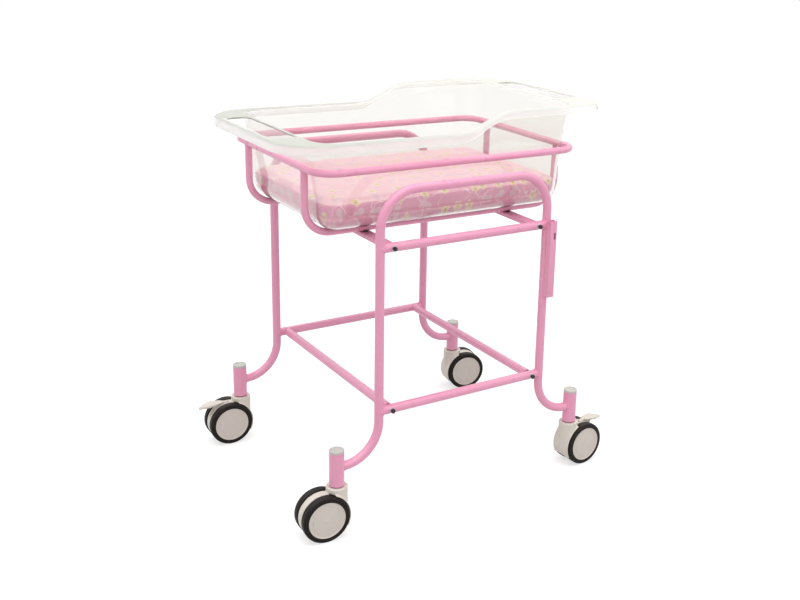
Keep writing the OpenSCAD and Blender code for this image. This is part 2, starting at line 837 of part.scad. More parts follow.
module axle() {
    axle_len = wheel_gap + 2 * (wheel_w - 4);
    translate([trail, axle_len / 2, axle_z]) rotate([90, 0, 0])
        cylinder(d = axle_d, h = axle_len);
}

// Stands a section of radius and width on the axle: the wheel on side s
module on_axle(s) {
    translate([trail, 0, axle_z]) rotate([s > 0 ? -90 : 90, 0, 0])
        translate([0, 0, wheel_gap / 2]) children();
}

// A wheel's moulded centre: boss, web, rim and a shallow ringed face
module hub(s) {
    rim_r = wheel_r - tyre_t;
    w = wheel_w;
    on_axle(s) rotate_extrude($fn = 96) polygon([
        [axle_d / 2 + running_fit, 0], [11, 0], [11, w - 5], [rim_r - 4, w - 5],
        [rim_r - 4, 1], [rim_r, 1], [rim_r, w - 0.2], [rim_r - 1.4, w],
        [rim_r - 2.4, w - 1.1], [rim_r * 0.80, w - 0.8], [rim_r * 0.79, w - 1.4],
        [rim_r * 0.76, w - 1.4], [rim_r * 0.75, w - 0.7], [0, w],
        [0, w - 2.6], [axle_d / 2 + running_fit, w - 2.6]
    ]);
}

// A tyre round its wheel centre, with rounded shoulders
module tyre(s) {
    rim_r = wheel_r - tyre_t;
    shoulder = 4;
    w = wheel_w - 0.5;
    on_axle(s) rotate_extrude($fn = 96) {
        translate([rim_r, 0.5]) square([tyre_t - shoulder, w]);
        translate([rim_r, 0.5 + shoulder]) square([tyre_t, w - 2 * shoulder]);
        translate([wheel_r - shoulder, 0.5 + shoulder]) circle(r = shoulder, $fn = 48);
        translate([wheel_r - shoulder, 0.5 + w - shoulder]) circle(r = shoulder, $fn = 48);
    }
}

module brake_pin() {
    translate([pedal_pivot_x, web_w / 2, pedal_pivot_z]) rotate([90, 0, 0])
        cylinder(d = pedal_pin_d, h = web_w);
}

// A shape drawn in the caster's middle plane as [x past the axle, z], w wide
module plate_y(w) {
    translate([trail, w / 2, 0]) rotate([90, 0, 0]) linear_extrude(w) children();
}

// The brake pedal: an arm on the pin, and a thin pad shaped like a leaf that stands out
// past the wheels
module brake_pedal() {
    top = axle_z + wheel_r + 1.6;
    half = pedal_w / 2;
    tip_r = 5;
    difference() {
        union() {
            plate_y(arm_w) polygon([[2, pedal_pivot_z - 8], [18, pedal_pivot_z - 8],
                [pedal_len - 28, top - 6], [pedal_len - 28, top - 1], [14, top], [2, top - 3]]);
            intersection() {
                plate_y(pedal_w) polygon([[16, top - 3.2], [40, top - 5],
                    [pedal_len, top - 10.5], [pedal_len, top - 6.5],
                    [pedal_len - 10, top - 3], [pedal_len - 26, top], [16, top]]);
                translate([trail, 0, axle_z]) linear_extrude(wheel_d) union() {
                    polygon([[16, -half * 0.6], [34, -half], [46, -half],
                        [pedal_len - tip_r, -tip_r], [pedal_len - tip_r, tip_r],
                        [46, half], [34, half], [16, half * 0.6]]);
                    translate([pedal_len - tip_r, 0]) circle(r = tip_r);
                }
            }
        }
        translate([pedal_pivot_x, wheel_r, pedal_pivot_z]) rotate([90, 0, 0])
            cylinder(d = pedal_pin_d + 2 * running_fit, h = wheel_d);
    }
}

module caster_body_foot_rear() {
    color(beige) at_foot_rear() braked_body();
}

module axle_foot_rear() {
    color(steel) at_foot_rear() axle();
}

module near_hub_foot_rear() {
    color(beige) at_foot_rear() hub(-1);
}

module near_tyre_foot_rear() {
    color(dark_rubber) at_foot_rear() tyre(-1);
}

module far_hub_foot_rear() {
    color(beige) at_foot_rear() hub(1);
}

module far_tyre_foot_rear() {
    color(dark_rubber) at_foot_rear() tyre(1);
}

module brake_pin_foot_rear() {
    color(steel) at_foot_rear() brake_pin();
}

module brake_pedal_foot_rear() {
    color(beige) at_foot_rear() brake_pedal();
}

module caster_body_foot_front() {
    color(beige) at_foot_front() caster_body();
}

module axle_foot_front() {
    color(steel) at_foot_front() axle();
}

module near_hub_foot_front() {
    color(beige) at_foot_front() hub(-1);
}

module near_tyre_foot_front() {
    color(dark_rubber) at_foot_front() tyre(-1);
}

module far_hub_foot_front() {
    color(beige) at_foot_front() hub(1);
}

module far_tyre_foot_front() {
    color(dark_rubber) at_foot_front() tyre(1);
}

module caster_body_head_rear() {
    color(beige) at_head_rear() caster_body();
}

module axle_head_rear() {
    color(steel) at_head_rear() axle();
}

module near_hub_head_rear() {
    color(beige) at_head_rear() hub(-1);
}

module near_tyre_head_rear() {
    color(dark_rubber) at_head_rear() tyre(-1);
}

module far_hub_head_rear() {
    color(beige) at_head_rear() hub(1);
}

module far_tyre_head_rear() {
    color(dark_rubber) at_head_rear() tyre(1);
}

module caster_body_head_front() {
    color(beige) at_head_front() braked_body();
}

module axle_head_front() {
    color(steel) at_head_front() axle();
}

module near_hub_head_front() {
    color(beige) at_head_front() hub(-1);
}

module near_tyre_head_front() {
    color(dark_rubber) at_head_front() tyre(-1);
}

module far_hub_head_front() {
    color(beige) at_head_front() hub(1);
}

module far_tyre_head_front() {
    color(dark_rubber) at_head_front() tyre(1);
}

module brake_pin_head_front() {
    color(steel) at_head_front() brake_pin();
}

module brake_pedal_head_front() {
    color(beige) at_head_front() brake_pedal();
}

front_arch();
rear_arch();
front_upper_crossbar();
rear_upper_crossbar();
front_lower_crossbar();
rear_lower_crossbar();
foot_side_bar();
head_side_bar();
side_bar_plugs();
foot_strap();
head_strap();
lower_bolts();
upper_bolts();
saddle_washers();
cradle_ring();
front_cradle_rail();
rear_cradle_rail();
rail_saddles();
cradle_screws();
pole_socket();
caster_sockets();
socket_caps();
caster_stems();
stem_sleeves();
tray();
mattress_cover();
mattress_foam();
caster_body_foot_rear();
axle_foot_rear();
near_hub_foot_rear();
near_tyre_foot_rear();
far_hub_foot_rear();
far_tyre_foot_rear();
brake_pin_foot_rear();
brake_pedal_foot_rear();
caster_body_foot_front();
axle_foot_front();
near_hub_foot_front();
near_tyre_foot_front();
far_hub_foot_front();
far_tyre_foot_front();
caster_body_head_rear();
axle_head_rear();
near_hub_head_rear();
near_tyre_head_rear();
far_hub_head_rear();
far_tyre_head_rear();
caster_body_head_front();
axle_head_front();
near_hub_head_front();
near_tyre_head_front();
far_hub_head_front();
far_tyre_head_front();
brake_pin_head_front();
brake_pedal_head_front();
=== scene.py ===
# %% [markdown]
# # A newborn's ward cot
#
# A clear plastic tray with a mattress lies in a cradle of pink steel tube, on two
# bent-tube arches and four twin-wheel casters. The tubes, bolts and wheels come
# ready from the CAD model. This lesson adds what CAD leaves plain: the soft
# mattress, the thin moulded tray, weld beads, seams, and a finish for each surface.
# Everything is in metres, and the origin is on the floor under the cot.

# %% Load the CAD frame
import math

import bmesh
import bpy
import numpy as np
from mathutils import Matrix, Vector, noise
from mathutils.bvhtree import BVHTree


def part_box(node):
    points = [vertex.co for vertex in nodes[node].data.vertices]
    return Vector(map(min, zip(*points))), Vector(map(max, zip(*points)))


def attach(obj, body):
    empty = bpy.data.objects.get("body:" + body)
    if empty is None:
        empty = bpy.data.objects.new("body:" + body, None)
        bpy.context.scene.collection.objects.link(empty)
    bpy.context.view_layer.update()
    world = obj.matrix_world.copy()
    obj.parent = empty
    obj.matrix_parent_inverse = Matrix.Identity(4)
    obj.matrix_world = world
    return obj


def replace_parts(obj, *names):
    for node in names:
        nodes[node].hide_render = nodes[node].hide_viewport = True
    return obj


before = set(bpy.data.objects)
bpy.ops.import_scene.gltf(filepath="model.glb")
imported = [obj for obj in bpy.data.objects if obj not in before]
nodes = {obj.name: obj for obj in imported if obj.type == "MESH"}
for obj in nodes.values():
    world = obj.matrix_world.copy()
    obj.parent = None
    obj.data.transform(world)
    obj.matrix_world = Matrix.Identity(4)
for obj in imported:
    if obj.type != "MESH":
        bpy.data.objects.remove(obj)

scene = bpy.context.scene
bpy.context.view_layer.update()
mm = 0.001

# %% [markdown]
# ## The camera
#
# A camera could be placed by eye, but a fitted one saves later guessing. Its place, turn
# and focal length were fitted to the cot's straight edges, sockets and wheels, taking
# the legs as upright and the wheels as 100 mm. Fits that let the legs lean came out
# slightly closer, so this is one good answer and not the only one. The fit puts the
# picture's axis off centre, so the lens is shifted as well.

# %% Place the camera
picture_width, picture_height = 800, 600
focal_px = 1093.6
axis_px = (504.2, 245.6)
yaw, pitch, roll = 0.62151, 0.28769, -0.04175
ahead = Vector((math.sin(yaw) * math.cos(pitch), math.cos(yaw) * math.cos(pitch),
                -math.sin(pitch)))
level = Vector((math.cos(yaw), -math.sin(yaw), 0))
right = level * math.cos(roll) - level.cross(ahead) * math.sin(roll)
turn = Matrix((right, right.cross(ahead), -ahead)).transposed()

camera = bpy.data.objects.new("camera", bpy.data.cameras.new("camera"))
scene.collection.objects.link(camera)
camera.matrix_world = Matrix.Translation((-1.2001, -2.0621, 1.2215)) @ turn.to_4x4()
camera.data.lens = focal_px / picture_width * camera.data.sensor_width
camera.data.shift_x = (picture_width / 2 - axis_px[0]) / picture_width
camera.data.shift_y = (axis_px[1] - picture_height / 2) / picture_width
scene.camera = camera
print("lens", round(camera.data.lens, 1), "mm")

# %% [markdown]
# ## Helpers for materials
#
# Colours are picked as sRGB hex values, but Blender mixes light in linear numbers, so
# one function converts them. Another adds a node with its settings and links in one
# call, which keeps shader and geometry trees short to read.

# %% Helpers for colours, nodes and materials
def linear(code):
    """Turns a colour such as #e8a0bc to linear red, green, blue and alpha."""
    parts = [int(code[i:i + 2], 16) / 255 for i in (1, 3, 5)]
    return [p / 12.92 if p < 0.04045 else ((p + 0.055) / 1.055) ** 2.4 for p in parts] + [1]


def put(tree, kind, inputs=(), **settings):
    """Adds a node to the tree. Inputs are values, or other nodes or sockets to link."""
    made = tree.nodes.new(kind)
    for name, value in settings.items():
        setattr(made, name, value)
    for name, value in dict(inputs).items():
        named = [s for s in made.inputs if s.enabled and s.name == name]
        socket = named[0] if named else made.inputs[name]
        if isinstance(value, bpy.types.Node):
            value = next(s for s in value.outputs if s.enabled)
        if isinstance(value, bpy.types.NodeSocket):
            tree.links.new(value, socket)
        else:
            socket.default_value = value
    return made


def blank_material(name):
    """A material with an empty tree, and the coordinates of the object it is on."""
    made = bpy.data.materials.new(name)
    made.use_nodes = True
    made.node_tree.nodes.clear()
    place = put(made.node_tree, "ShaderNodeTexCoord").outputs["Object"]
    return made, made.node_tree, place


def paint(material, *names):
    """Gives CAD nodes a material."""
    for name in names:
        for spot in nodes[name].material_slots:
            spot.material = material


# %% [markdown]
# ## Pink powder coat
#
# The frame is steel tube with a baked powder coat. The powder melts into a gloss skin
# that is never quite flat: it keeps a waviness of 2 to 3 mm, called orange peel. A
# plain pink would look like paper, so a faint bump gives the peel, and slow patches
# in colour and gloss break up the long tubes. Both stay faint: a bump that is too
# strong makes a clean tube look dirty.

# %% Powder coat
powder_coat, tree, place = blank_material("powder_coated_steel")
# Patches about 100 mm across, where the film is thicker or thinner
film = put(tree, "ShaderNodeTexNoise", {"Vector": place, "Scale": 9, "Detail": 2})
tone = put(tree, "ShaderNodeMix", {"Factor": film, "A": linear("#e798b8"),
                                   "B": linear("#eca3bf")}, data_type="RGBA")
handled = put(tree, "ShaderNodeTexNoise", {"Vector": place, "Scale": 45, "Detail": 4})
gloss = put(tree, "ShaderNodeMapRange", {"Value": handled, "From Min": 0.35,
                                         "From Max": 0.7, "To Min": 0.27, "To Max": 0.34})
# Orange peel: waves 2.6 mm apart
peel = put(tree, "ShaderNodeTexNoise", {"Vector": place, "Scale": 1 / (2.6 * mm), "Detail": 1})
skin_bump = put(tree, "ShaderNodeBump", {"Height": peel, "Strength": 0.15, "Distance": 0.05 * mm})
put(tree, "ShaderNodeOutputMaterial", {"Surface": put(tree, "ShaderNodeBsdfPrincipled", {
    "Base Color": tone, "Roughness": gloss, "Normal": skin_bump, "IOR": 1.5})})
paint(powder_coat, "front_arch", "rear_arch", "front_upper_crossbar", "rear_upper_crossbar",
      "front_lower_crossbar", "rear_lower_crossbar", "foot_side_bar", "head_side_bar",
      "foot_strap", "head_strap", "cradle_ring", "front_cradle_rail", "rear_cradle_rail",
      "pole_socket", "caster_sockets")
print("powder coat on 15 nodes")

# %% [markdown]
# ## Metal and small parts
#
# Washers, stems, axles and pins are zinc-plated steel: bright, with a faint brushed streak.
# The bolts are black oxide, a thin dark skin that still lets the steel glint. A metal
# takes its look from what it mirrors, so only its roughness needs detail.

# %% Zinc plate and black oxide
zinc_plate, tree, place = blank_material("zinc_plated_steel")
streaks = put(tree, "ShaderNodeTexNoise", {
    "Vector": put(tree, "ShaderNodeMapping", {"Vector": place, "Scale": (300, 300, 40)}),
    "Scale": 1, "Detail": 3})
put(tree, "ShaderNodeOutputMaterial", {"Surface": put(tree, "ShaderNodeBsdfPrincipled", {
    "Base Color": linear("#c4c5c4"), "Metallic": 1,
    "Roughness": put(tree, "ShaderNodeMapRange", {"Value": streaks, "To Min": 0.22,
                                                  "To Max": 0.5})})})
paint(zinc_plate, "saddle_washers", "caster_stems", "side_bar_plugs", "brake_pin_foot_rear",
      "brake_pin_head_front", "axle_foot_rear", "axle_foot_front", "axle_head_rear",
      "axle_head_front")

black_oxide, tree, place = blank_material("black_oxide_steel")
rub = put(tree, "ShaderNodeTexNoise", {"Vector": place, "Scale": 500, "Detail": 3})
put(tree, "ShaderNodeOutputMaterial", {"Surface": put(tree, "ShaderNodeBsdfPrincipled", {
    "Base Color": put(tree, "ShaderNodeMix", {
        "Factor": rub, "A": linear("#191718"), "B": linear("#4a4547")}, data_type="RGBA"),
    "Metallic": 0.8,
    "Roughness": put(tree, "ShaderNodeMapRange", {"Value": rub, "To Min": 0.2,
                                                  "To Max": 0.45})})})
paint(black_oxide, "lower_bolts", "upper_bolts", "cradle_screws")

# %% [markdown]
# ## Moulded plastics and rubber
#
# The casters are moulded nylon, and the caps polypropylene. Such moulds are
# spark-eroded, which leaves a satin grain of about 0.4 mm. It is drawn 1 mm coarse,
# because a finer one would vanish in the picture. Rubber scatters more than it
# mirrors, so its shine is at most half of a plastic's.

# %% Nylon, polypropylene and rubber
plastics = {}
for name, pale, deep, low, high, shine in (
        ("moulded_nylon", "#ded7cc", "#d5cdc1", 0.36, 0.46, 0.5),
        ("wheel_disc_nylon", "#d7cec6", "#cec5bc", 0.38, 0.5, 0.5),
        ("moulded_polypropylene", "#c8c6c0", "#bdbab3", 0.35, 0.48, 0.5),
        ("tyre_rubber", "#1e1816", "#161210", 0.5, 0.64, 0.15),
        # This dark rubber is painted shade at the caster necks and at the rail crossings
        ("sleeve_rubber", "#4a3c3e", "#3c3032", 0.6, 0.75, 0.25)):
    plastics[name], tree, place = blank_material(name)
    cloudy = put(tree, "ShaderNodeTexNoise", {"Vector": place, "Scale": 40, "Detail": 3})
    grain = put(tree, "ShaderNodeTexNoise", {"Vector": place, "Scale": 1 / (1 * mm)})
    put(tree, "ShaderNodeOutputMaterial", {"Surface": put(tree, "ShaderNodeBsdfPrincipled", {
        "Specular IOR Level": shine,
        "Base Color": put(tree, "ShaderNodeMix", {
            "Factor": cloudy, "A": linear(deep), "B": linear(pale)}, data_type="RGBA"),
        "Roughness": put(tree, "ShaderNodeMapRange", {"Value": grain, "To Min": low,
                                                      "To Max": high}),
        "Normal": put(tree, "ShaderNodeBump", {"Height": grain, "Strength": 0.15,
                                               "Distance": 0.1 * mm})})})
paint(plastics["moulded_polypropylene"], "socket_caps")
# Stem sleeves and rail saddles are dark: painted shade in the caster necks and where the rails
# cross the straps
paint(plastics["sleeve_rubber"], "stem_sleeves", "rail_saddles")
casters = ("foot_rear", "foot_front", "head_rear", "head_front")
for place_name in casters:
    paint(plastics["tyre_rubber"], "near_tyre_" + place_name, "far_tyre_" + place_name)
    paint(plastics["wheel_disc_nylon"], "near_hub_" + place_name, "far_hub_" + place_name)
    paint(plastics["moulded_nylon"], "caster_body_" + place_name)
paint(plastics["moulded_nylon"], "brake_pedal_foot_rear", "brake_pedal_head_front")

# %% [markdown]
# ## Clear sheet plastic
#
# The tray is formed from a 3 mm sheet of clear copolyester. Its walls pass light
# almost unchanged. The rim was drawn and bent the most, and there the sheet has gone
# milky. So each point of the tray carries a number, haze, which turns clear glass into
# a pale plastic. Lamps must reach the mattress, and a solid glass shell would block
# them, so rays from lamps meet a plain transparent shader instead.

# %% Clear plastic
clear_sheet, tree, place = blank_material("clear_copolyester")
# Forming leaves slow waves in the sheet, 40 mm long
waves = put(tree, "ShaderNodeTexNoise", {"Vector": place, "Scale": 25, "Detail": 1})
haze = put(tree, "ShaderNodeAttribute", attribute_name="haze").outputs["Fac"]
# The flat flange is painted grey as shade, darker towards the foot end, while the turned-down
# lip is frosted and lets light through from behind
facing_up = put(tree, "ShaderNodeMath", {0: put(tree, "ShaderNodeSeparateXYZ", {
    0: put(tree, "ShaderNodeNewGeometry").outputs["Normal"]}).outputs["Z"]}, operation="ABSOLUTE")
toward_foot = put(tree, "ShaderNodeMapRange", {
    "Value": put(tree, "ShaderNodeSeparateXYZ", {0: place}).outputs["X"],
    "From Min": -250 * mm, "From Max": 100 * mm, "To Min": 1.0, "To Max": 0.0})
rim_white_flange_shade = put(tree, "ShaderNodeMix", {
    "Factor": facing_up, "A": linear("#ffffff"), "B": put(tree, "ShaderNodeMix", {
        "Factor": toward_foot, "A": linear("#e6e5df"), "B": linear("#cdcec6")}, data_type="RGBA")},
    data_type="RGBA")
sheet = put(tree, "ShaderNodeBsdfPrincipled", {
    "Base Color": put(tree, "ShaderNodeMix", {
        "Factor": haze, "A": linear("#f1efec"), "B": rim_white_flange_shade}, data_type="RGBA"),
    "IOR": 1.45, "Specular IOR Level": 0.12,
    "Transmission Weight": put(tree, "ShaderNodeMapRange", {
        "Value": put(tree, "ShaderNodeMath", {0: haze, 1: facing_up}, operation="MULTIPLY"),
        "To Min": 0.98, "To Max": 0.12}),
    "Roughness": put(tree, "ShaderNodeMath", {0: haze, 1: 0.5, 2: put(
        tree, "ShaderNodeMapRange", {"Value": waves, "To Min": 0.02, "To Max": 0.06})},
        operation="MULTIPLY_ADD"),
    "Normal": put(tree, "ShaderNodeBump", {"Height": waves, "Strength": 0.2,
                                           "Distance": 1 * mm})})
put(tree, "ShaderNodeOutputMaterial", {"Surface": put(tree, "ShaderNodeMixShader", {
    0: put(tree, "ShaderNodeLightPath").outputs["Is Shadow Ray"], 1: sheet,
    2: put(tree, "ShaderNodeBsdfTransparent", {"Color": linear("#fbfaf8")})})})

# %% [markdown]
# ## Outlines and skins
#
# Tray and mattress are both stacks of rounded rectangles. A box with bevels could
# make one, but not a rim that leaves the wall, so each outline is computed, and a
# skin joins one to the next. Every outline has its points in the same order.

# %% Outlines and skins
def arc(cx, cy, r, start, steps):
    """A quarter circle in degrees from start."""
    a = np.radians(start + 90 * np.arange(steps + 1) / steps)
    return np.column_stack([cx + r * np.cos(a), cy + r * np.sin(a)])


def outline(back, front, side, r_back, r_front, xs, ys, steps):
    """A rounded rectangle from -back to front, side wide each way, seen from above."""
    xs, ys = np.asarray(xs), np.asarray(ys)
    return np.vstack([
        arc(front - r_front, side - r_front, r_front, 0, steps),
        np.column_stack([xs[::-1], np.full(len(xs), side)]),
        arc(-back + r_back, side - r_back, r_back, 90, steps),
        np.column_stack([np.full(len(ys), -back), ys[::-1]]),
        arc(-back + r_back, -side + r_back, r_back, 180, steps),
        np.column_stack([xs, np.full(len(xs), -side)]),
        arc(front - r_front, -side + r_front, r_front, 270, steps),
        np.column_stack([np.full(len(ys), front), ys])])


def to_object(name, points, edges=(), faces=()):
    """A mesh object in the scene, its place in its points."""
    mesh = bpy.data.meshes.new(name)
    mesh.from_pydata([tuple(map(float, p)) for p in points], edges, faces)
    made = bpy.data.objects.new(name, mesh)
    scene.collection.objects.link(made)
    return made


def skin(name, rings):
    """Joins rings of points into a closed mesh; each end closes on its middle."""
    n, last = len(rings[0]), len(rings) - 1
    points = np.vstack(rings + [rings[0].mean(0)[None], rings[last].mean(0)[None]])
    top = len(points) - 2
    faces = [(k * n + i, k * n + (i + 1) % n, (k + 1) * n + (i + 1) % n, (k + 1) * n + i)
             for k in range(last) for i in range(n)]
    faces += [(top, (i + 1) % n, i) for i in range(n)]
    faces += [(top + 1, last * n + i, last * n + (i + 1) % n) for i in range(n)]
    made = to_object(name, points, faces=faces)
    work = bmesh.new()
    work.from_mesh(made.data)
    bmesh.ops.recalc_face_normals(work, faces=work.faces)
    work.to_mesh(made.data)
    work.free()
    return made


# %% [markdown]
# ## Running a geometry tree
#
# A Geometry Nodes tree is a recipe with named inputs. The inputs are stored under
# hidden identifiers, so this helper looks them up by name, runs the tree once, and
# keeps the result as a plain mesh.

# %% Helpers for geometry trees
def blank_tree(name, **inputs):
    """A geometry tree with a mesh in and out, and one named input for each size."""
    tree = bpy.data.node_groups.new(name, "GeometryNodeTree")
    face = tree.interface
    face.new_socket("Geometry", in_out="OUTPUT", socket_type="NodeSocketGeometry")
    face.new_socket("Geometry", in_out="INPUT", socket_type="NodeSocketGeometry")
    for label, kind in inputs.items():
        face.new_socket(label.replace("_", " "), in_out="INPUT", socket_type="NodeSocket" + kind)
    return tree, put(tree, "NodeGroupInput").outputs


def bake(thing):
    """Replaces an object's mesh by what its modifiers make of it, and removes them."""
    bpy.context.view_layer.update()
    mesh = bpy.data.meshes.new_from_object(
        thing.evaluated_get(bpy.context.evaluated_depsgraph_get()))
    thing.modifiers.clear()
    thing.data = mesh
    return thing


def run_tree(thing, tree, **values):
    """Runs a geometry tree on an object with these inputs."""
    modifier = thing.modifiers.new(tree.name, "NODES")
    modifier.node_group = tree
    for item in tree.interface.items_tree:
        key = item.name.replace(" ", "_")
        if item.in_out == "INPUT" and key in values:
            modifier[item.identifier] = values[key]
    return bake(thing)


# %% [markdown]
# ## The tray, level
#
# The real tray is one sheet drawn over a mould: a floor, four walls that lean out, a
# rim rolled outward, and a lip turned down. It is first made with a level rim. Each
# point remembers how much of the climb it takes (lift), which way the leaning wall
# carries it as it rises (lean), its place along the tray (station), and how milky the
# sheet is there (haze).

# %% The level tray
base_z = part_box("tray")[0].z
wall, half_x, half_y, flare = 3 * mm, 288 * mm, 190 * mm, 0.1
corner, floor_r, roll, edge = 42 * mm, 36 * mm, 6 * mm, 5 * mm
rim_low, rim_high, step_start, step_len = 186.5 * mm, 227.5 * mm, 0.0, 128 * mm
rim_foot, rim_head, rim_side = 380.15 * mm, 387.75 * mm, 227 * mm
rim_foot_r, rim_head_r, lip_low, lip_high, lip_hollow = 95 * mm, 66 * mm, 20 * mm, 17 * mm, 24 * mm
xs = np.concatenate([np.linspace(-0.82, -0.05, 10) * half_x,
                     step_start + step_len * np.linspace(0, 1, 21),
                     np.linspace(0.56, 0.84, 4) * half_x])
ys = np.linspace(-0.66, 0.66, 7) * half_y
arc_steps = 20


def wall_line(h, inset):
    r = corner + flare * h / 2 - inset
    x, y = half_x + flare * h - inset, half_y + flare * h - inset
    return outline(x, x, y, r, r, xs, ys, arc_steps)


rings, lifts, leans, lips, hazes = [], [], [], [], []


def add_ring(line, h, lift=0.0, lean=0.0, lip=0.0, haze=0.0):
    """Adds a level ring of the tray and what its points remember."""
    rings.append(np.column_stack([line, np.full(len(line), base_z + h)]))
    lifts.append(np.full(len(line), lift))
    leans.append((wall_line(1, 0) - wall_line(0, 0)) * lean)
    lips.append(np.full(len(line), lip))
    hazes.append(np.full(len(line), haze))


def rim_line(inset):
    return outline(rim_foot - inset, rim_head - inset, rim_side - inset,
                   rim_foot_r - inset, rim_head_r - inset, xs, ys, arc_steps)


def one_face(t, rise):
    """One face of the sheet from floor to rim: t is how deep it lies in the sheet."""
    floor_bend, rim_bend, edge_bend = floor_r - wall + t, roll - t, edge - t
    inset = wall - t
    for a in np.radians(np.linspace(0, 90, 10)):
        h = rise + floor_bend * (1 - math.cos(a))
        add_ring(wall_line(h, inset + floor_bend * (1 - math.sin(a))), h)
    low, high = rise + floor_bend, rim_low - t - rim_bend
    for share in np.linspace(0, 1, 7)[1:-1]:
        h = low + share * (high - low)
        add_ring(wall_line(h, inset), h, share, share)
    for a in np.radians(np.linspace(0, 90, 7)):
        h = rim_low - t - rim_bend * (1 - math.sin(a))
        add_ring(wall_line(h, inset - rim_bend * (1 - math.cos(a))), h, 1, 1, haze=math.sin(a) ** 2)
    for a in np.radians(np.linspace(0, 90, 6)):
        h = rim_low - t - edge_bend * (1 - math.cos(a))
        add_ring(rim_line(t + edge_bend * (1 - math.sin(a))), h, 1, haze=1)


one_face(0, wall)
for inset, drop in ((0, 1), (0.3, 0.3), (1, 0), (2, 0), (2.7, 0.3), (3, 1)):
    add_ring(rim_line(inset * mm), rim_low - lip_low + drop * mm, 1, 0, 1, 1)
inner = len(rings)
one_face(wall, 0)
for facts in (rings, lifts, leans, lips, hazes):
    facts[inner:] = facts[inner:][::-1]

tray = skin("tray_shell", rings)
station = np.tile(wall_line(rim_low, 0)[:, 0], len(rings))
for label, values in (("station", station), ("lift", np.concatenate(lifts)),
                      ("lip", np.concatenate(lips)), ("haze", np.concatenate(hazes))):
    stored = tray.data.attributes.new(label, "FLOAT", "POINT")
    stored.data.foreach_set("value", np.append(values, [0, 0]))
stored = tray.data.attributes.new("lean", "FLOAT_VECTOR", "POINT")
stored.data.foreach_set("vector", np.vstack([
    np.column_stack([np.vstack(leans), np.zeros(len(station))]), np.zeros((2, 3))]).ravel())
print("level tray", len(tray.data.vertices), "points in", len(rings), "rings")

# %% [markdown]
# ## The rim climbs by a rule
#
# Towards the head end the rim rises 41 mm over 128 mm, in a smooth S. Moving points by
# hand would never be so even. The rule is one number, the climb, which goes from 0
# to 1 along the tray; the tree turns it into a move for each point. The lip thins in
# the middle of the climb, as stretched sheet does.

# %% Climbing rim
tree, given = blank_tree("climbing_rim", Rise="Float", Start="Float", Length="Float",
                         Lip_change="Float", Lip_hollow="Float", Finish="Material")
place_on_tray = put(tree, "GeometryNodeInputNamedAttribute", {"Name": "station"})
lift = put(tree, "GeometryNodeInputNamedAttribute", {"Name": "lift"})
lip = put(tree, "GeometryNodeInputNamedAttribute", {"Name": "lip"})
lean = put(tree, "GeometryNodeInputNamedAttribute", {"Name": "lean"}, data_type="FLOAT_VECTOR")
climb = put(tree, "ShaderNodeMapRange", {
    "Value": place_on_tray, "From Min": given["Start"],
    "From Max": put(tree, "ShaderNodeMath", {0: given["Start"], 1: given["Length"]}),
    "To Min": 0.0, "To Max": 1.0}, interpolation_type="SMOOTHSTEP")
height = put(tree, "ShaderNodeMath", {
    0: put(tree, "ShaderNodeMath", {0: climb, 1: given["Rise"]}, operation="MULTIPLY"),
    1: lift}, operation="MULTIPLY")
# climb * (1 - climb) is largest in the middle of the climb
middle = put(tree, "ShaderNodeMath", {
    0: climb, 1: put(tree, "ShaderNodeMath", {0: 1.0, 1: climb}, operation="SUBTRACT")},
    operation="MULTIPLY")
lip_move = put(tree, "ShaderNodeMath", {
    0: put(tree, "ShaderNodeMath", {
        0: put(tree, "ShaderNodeMath", {0: middle, 1: given["Lip hollow"]},
               operation="MULTIPLY"),
        1: put(tree, "ShaderNodeMath", {0: climb, 1: given["Lip change"]},
               operation="MULTIPLY")}),
    1: lip}, operation="MULTIPLY")
up = put(tree, "ShaderNodeCombineXYZ", {"Z": put(tree, "ShaderNodeMath", {0: height, 1: lip_move})})
out_and_up = put(tree, "ShaderNodeVectorMath", {
    0: put(tree, "ShaderNodeVectorMath", {0: lean, "Scale": height}, operation="SCALE"), 1: up})
moved = put(tree, "GeometryNodeSetPosition", {"Geometry": given["Geometry"], "Offset": out_and_up})
smooth = put(tree, "GeometryNodeSetShadeSmooth", {"Geometry": moved})
put(tree, "NodeGroupOutput", {"Geometry": put(tree, "GeometryNodeSetMaterial", {
    "Geometry": put(tree, "GeometryNodeRealizeInstances", {"Geometry": smooth}),
    "Material": given["Finish"]})})
run_tree(tray, tree, Rise=rim_high - rim_low, Start=step_start, Length=step_len,
         Lip_change=lip_low - lip_high, Lip_hollow=lip_hollow, Finish=clear_sheet)
print("tray top", round(max(v.co.z for v in tray.data.vertices), 4))

# %% [markdown]
# ## Hand slots
#
# A slot in each handle lets a nurse carry the tray. They are routed after forming and
# their edges flamed round. A Boolean cuts them, and a bevel of 1 mm on the new edges
# catches the light as the flamed edge does.

# %% Cut the hand slots
slot_x, slot_y, slot_r, slot_inset = 50 * mm, 250 * mm, 18 * mm, 40 * mm
cutter_half = 10 * mm
for name, middle_x, rim in (("foot_cutter", -rim_foot + slot_inset, rim_low),
                            ("head_cutter", rim_head - slot_inset, rim_high)):
    line = outline(slot_x / 2, slot_x / 2, slot_y / 2, slot_r, slot_r, [0.0], [0.0], 10)
    line[:, 0] += middle_x
    cutter = skin(name, [np.column_stack([line, np.full(len(line), base_z + rim + dz)])
                         for dz in (-cutter_half, cutter_half)])
    cut = tray.modifiers.new("slot", "BOOLEAN")
    cut.object, cut.solver = cutter, "EXACT"
    bake(tray)
    bpy.data.objects.remove(cutter)
work = bmesh.new()
work.from_mesh(tray.data)
sharp = [e for e in work.edges if len(e.link_faces) == 2 and e.calc_face_angle() > 1.2
         and abs(e.verts[0].co.y) < slot_y / 2 + mm and abs(e.verts[0].co.x) > half_x]
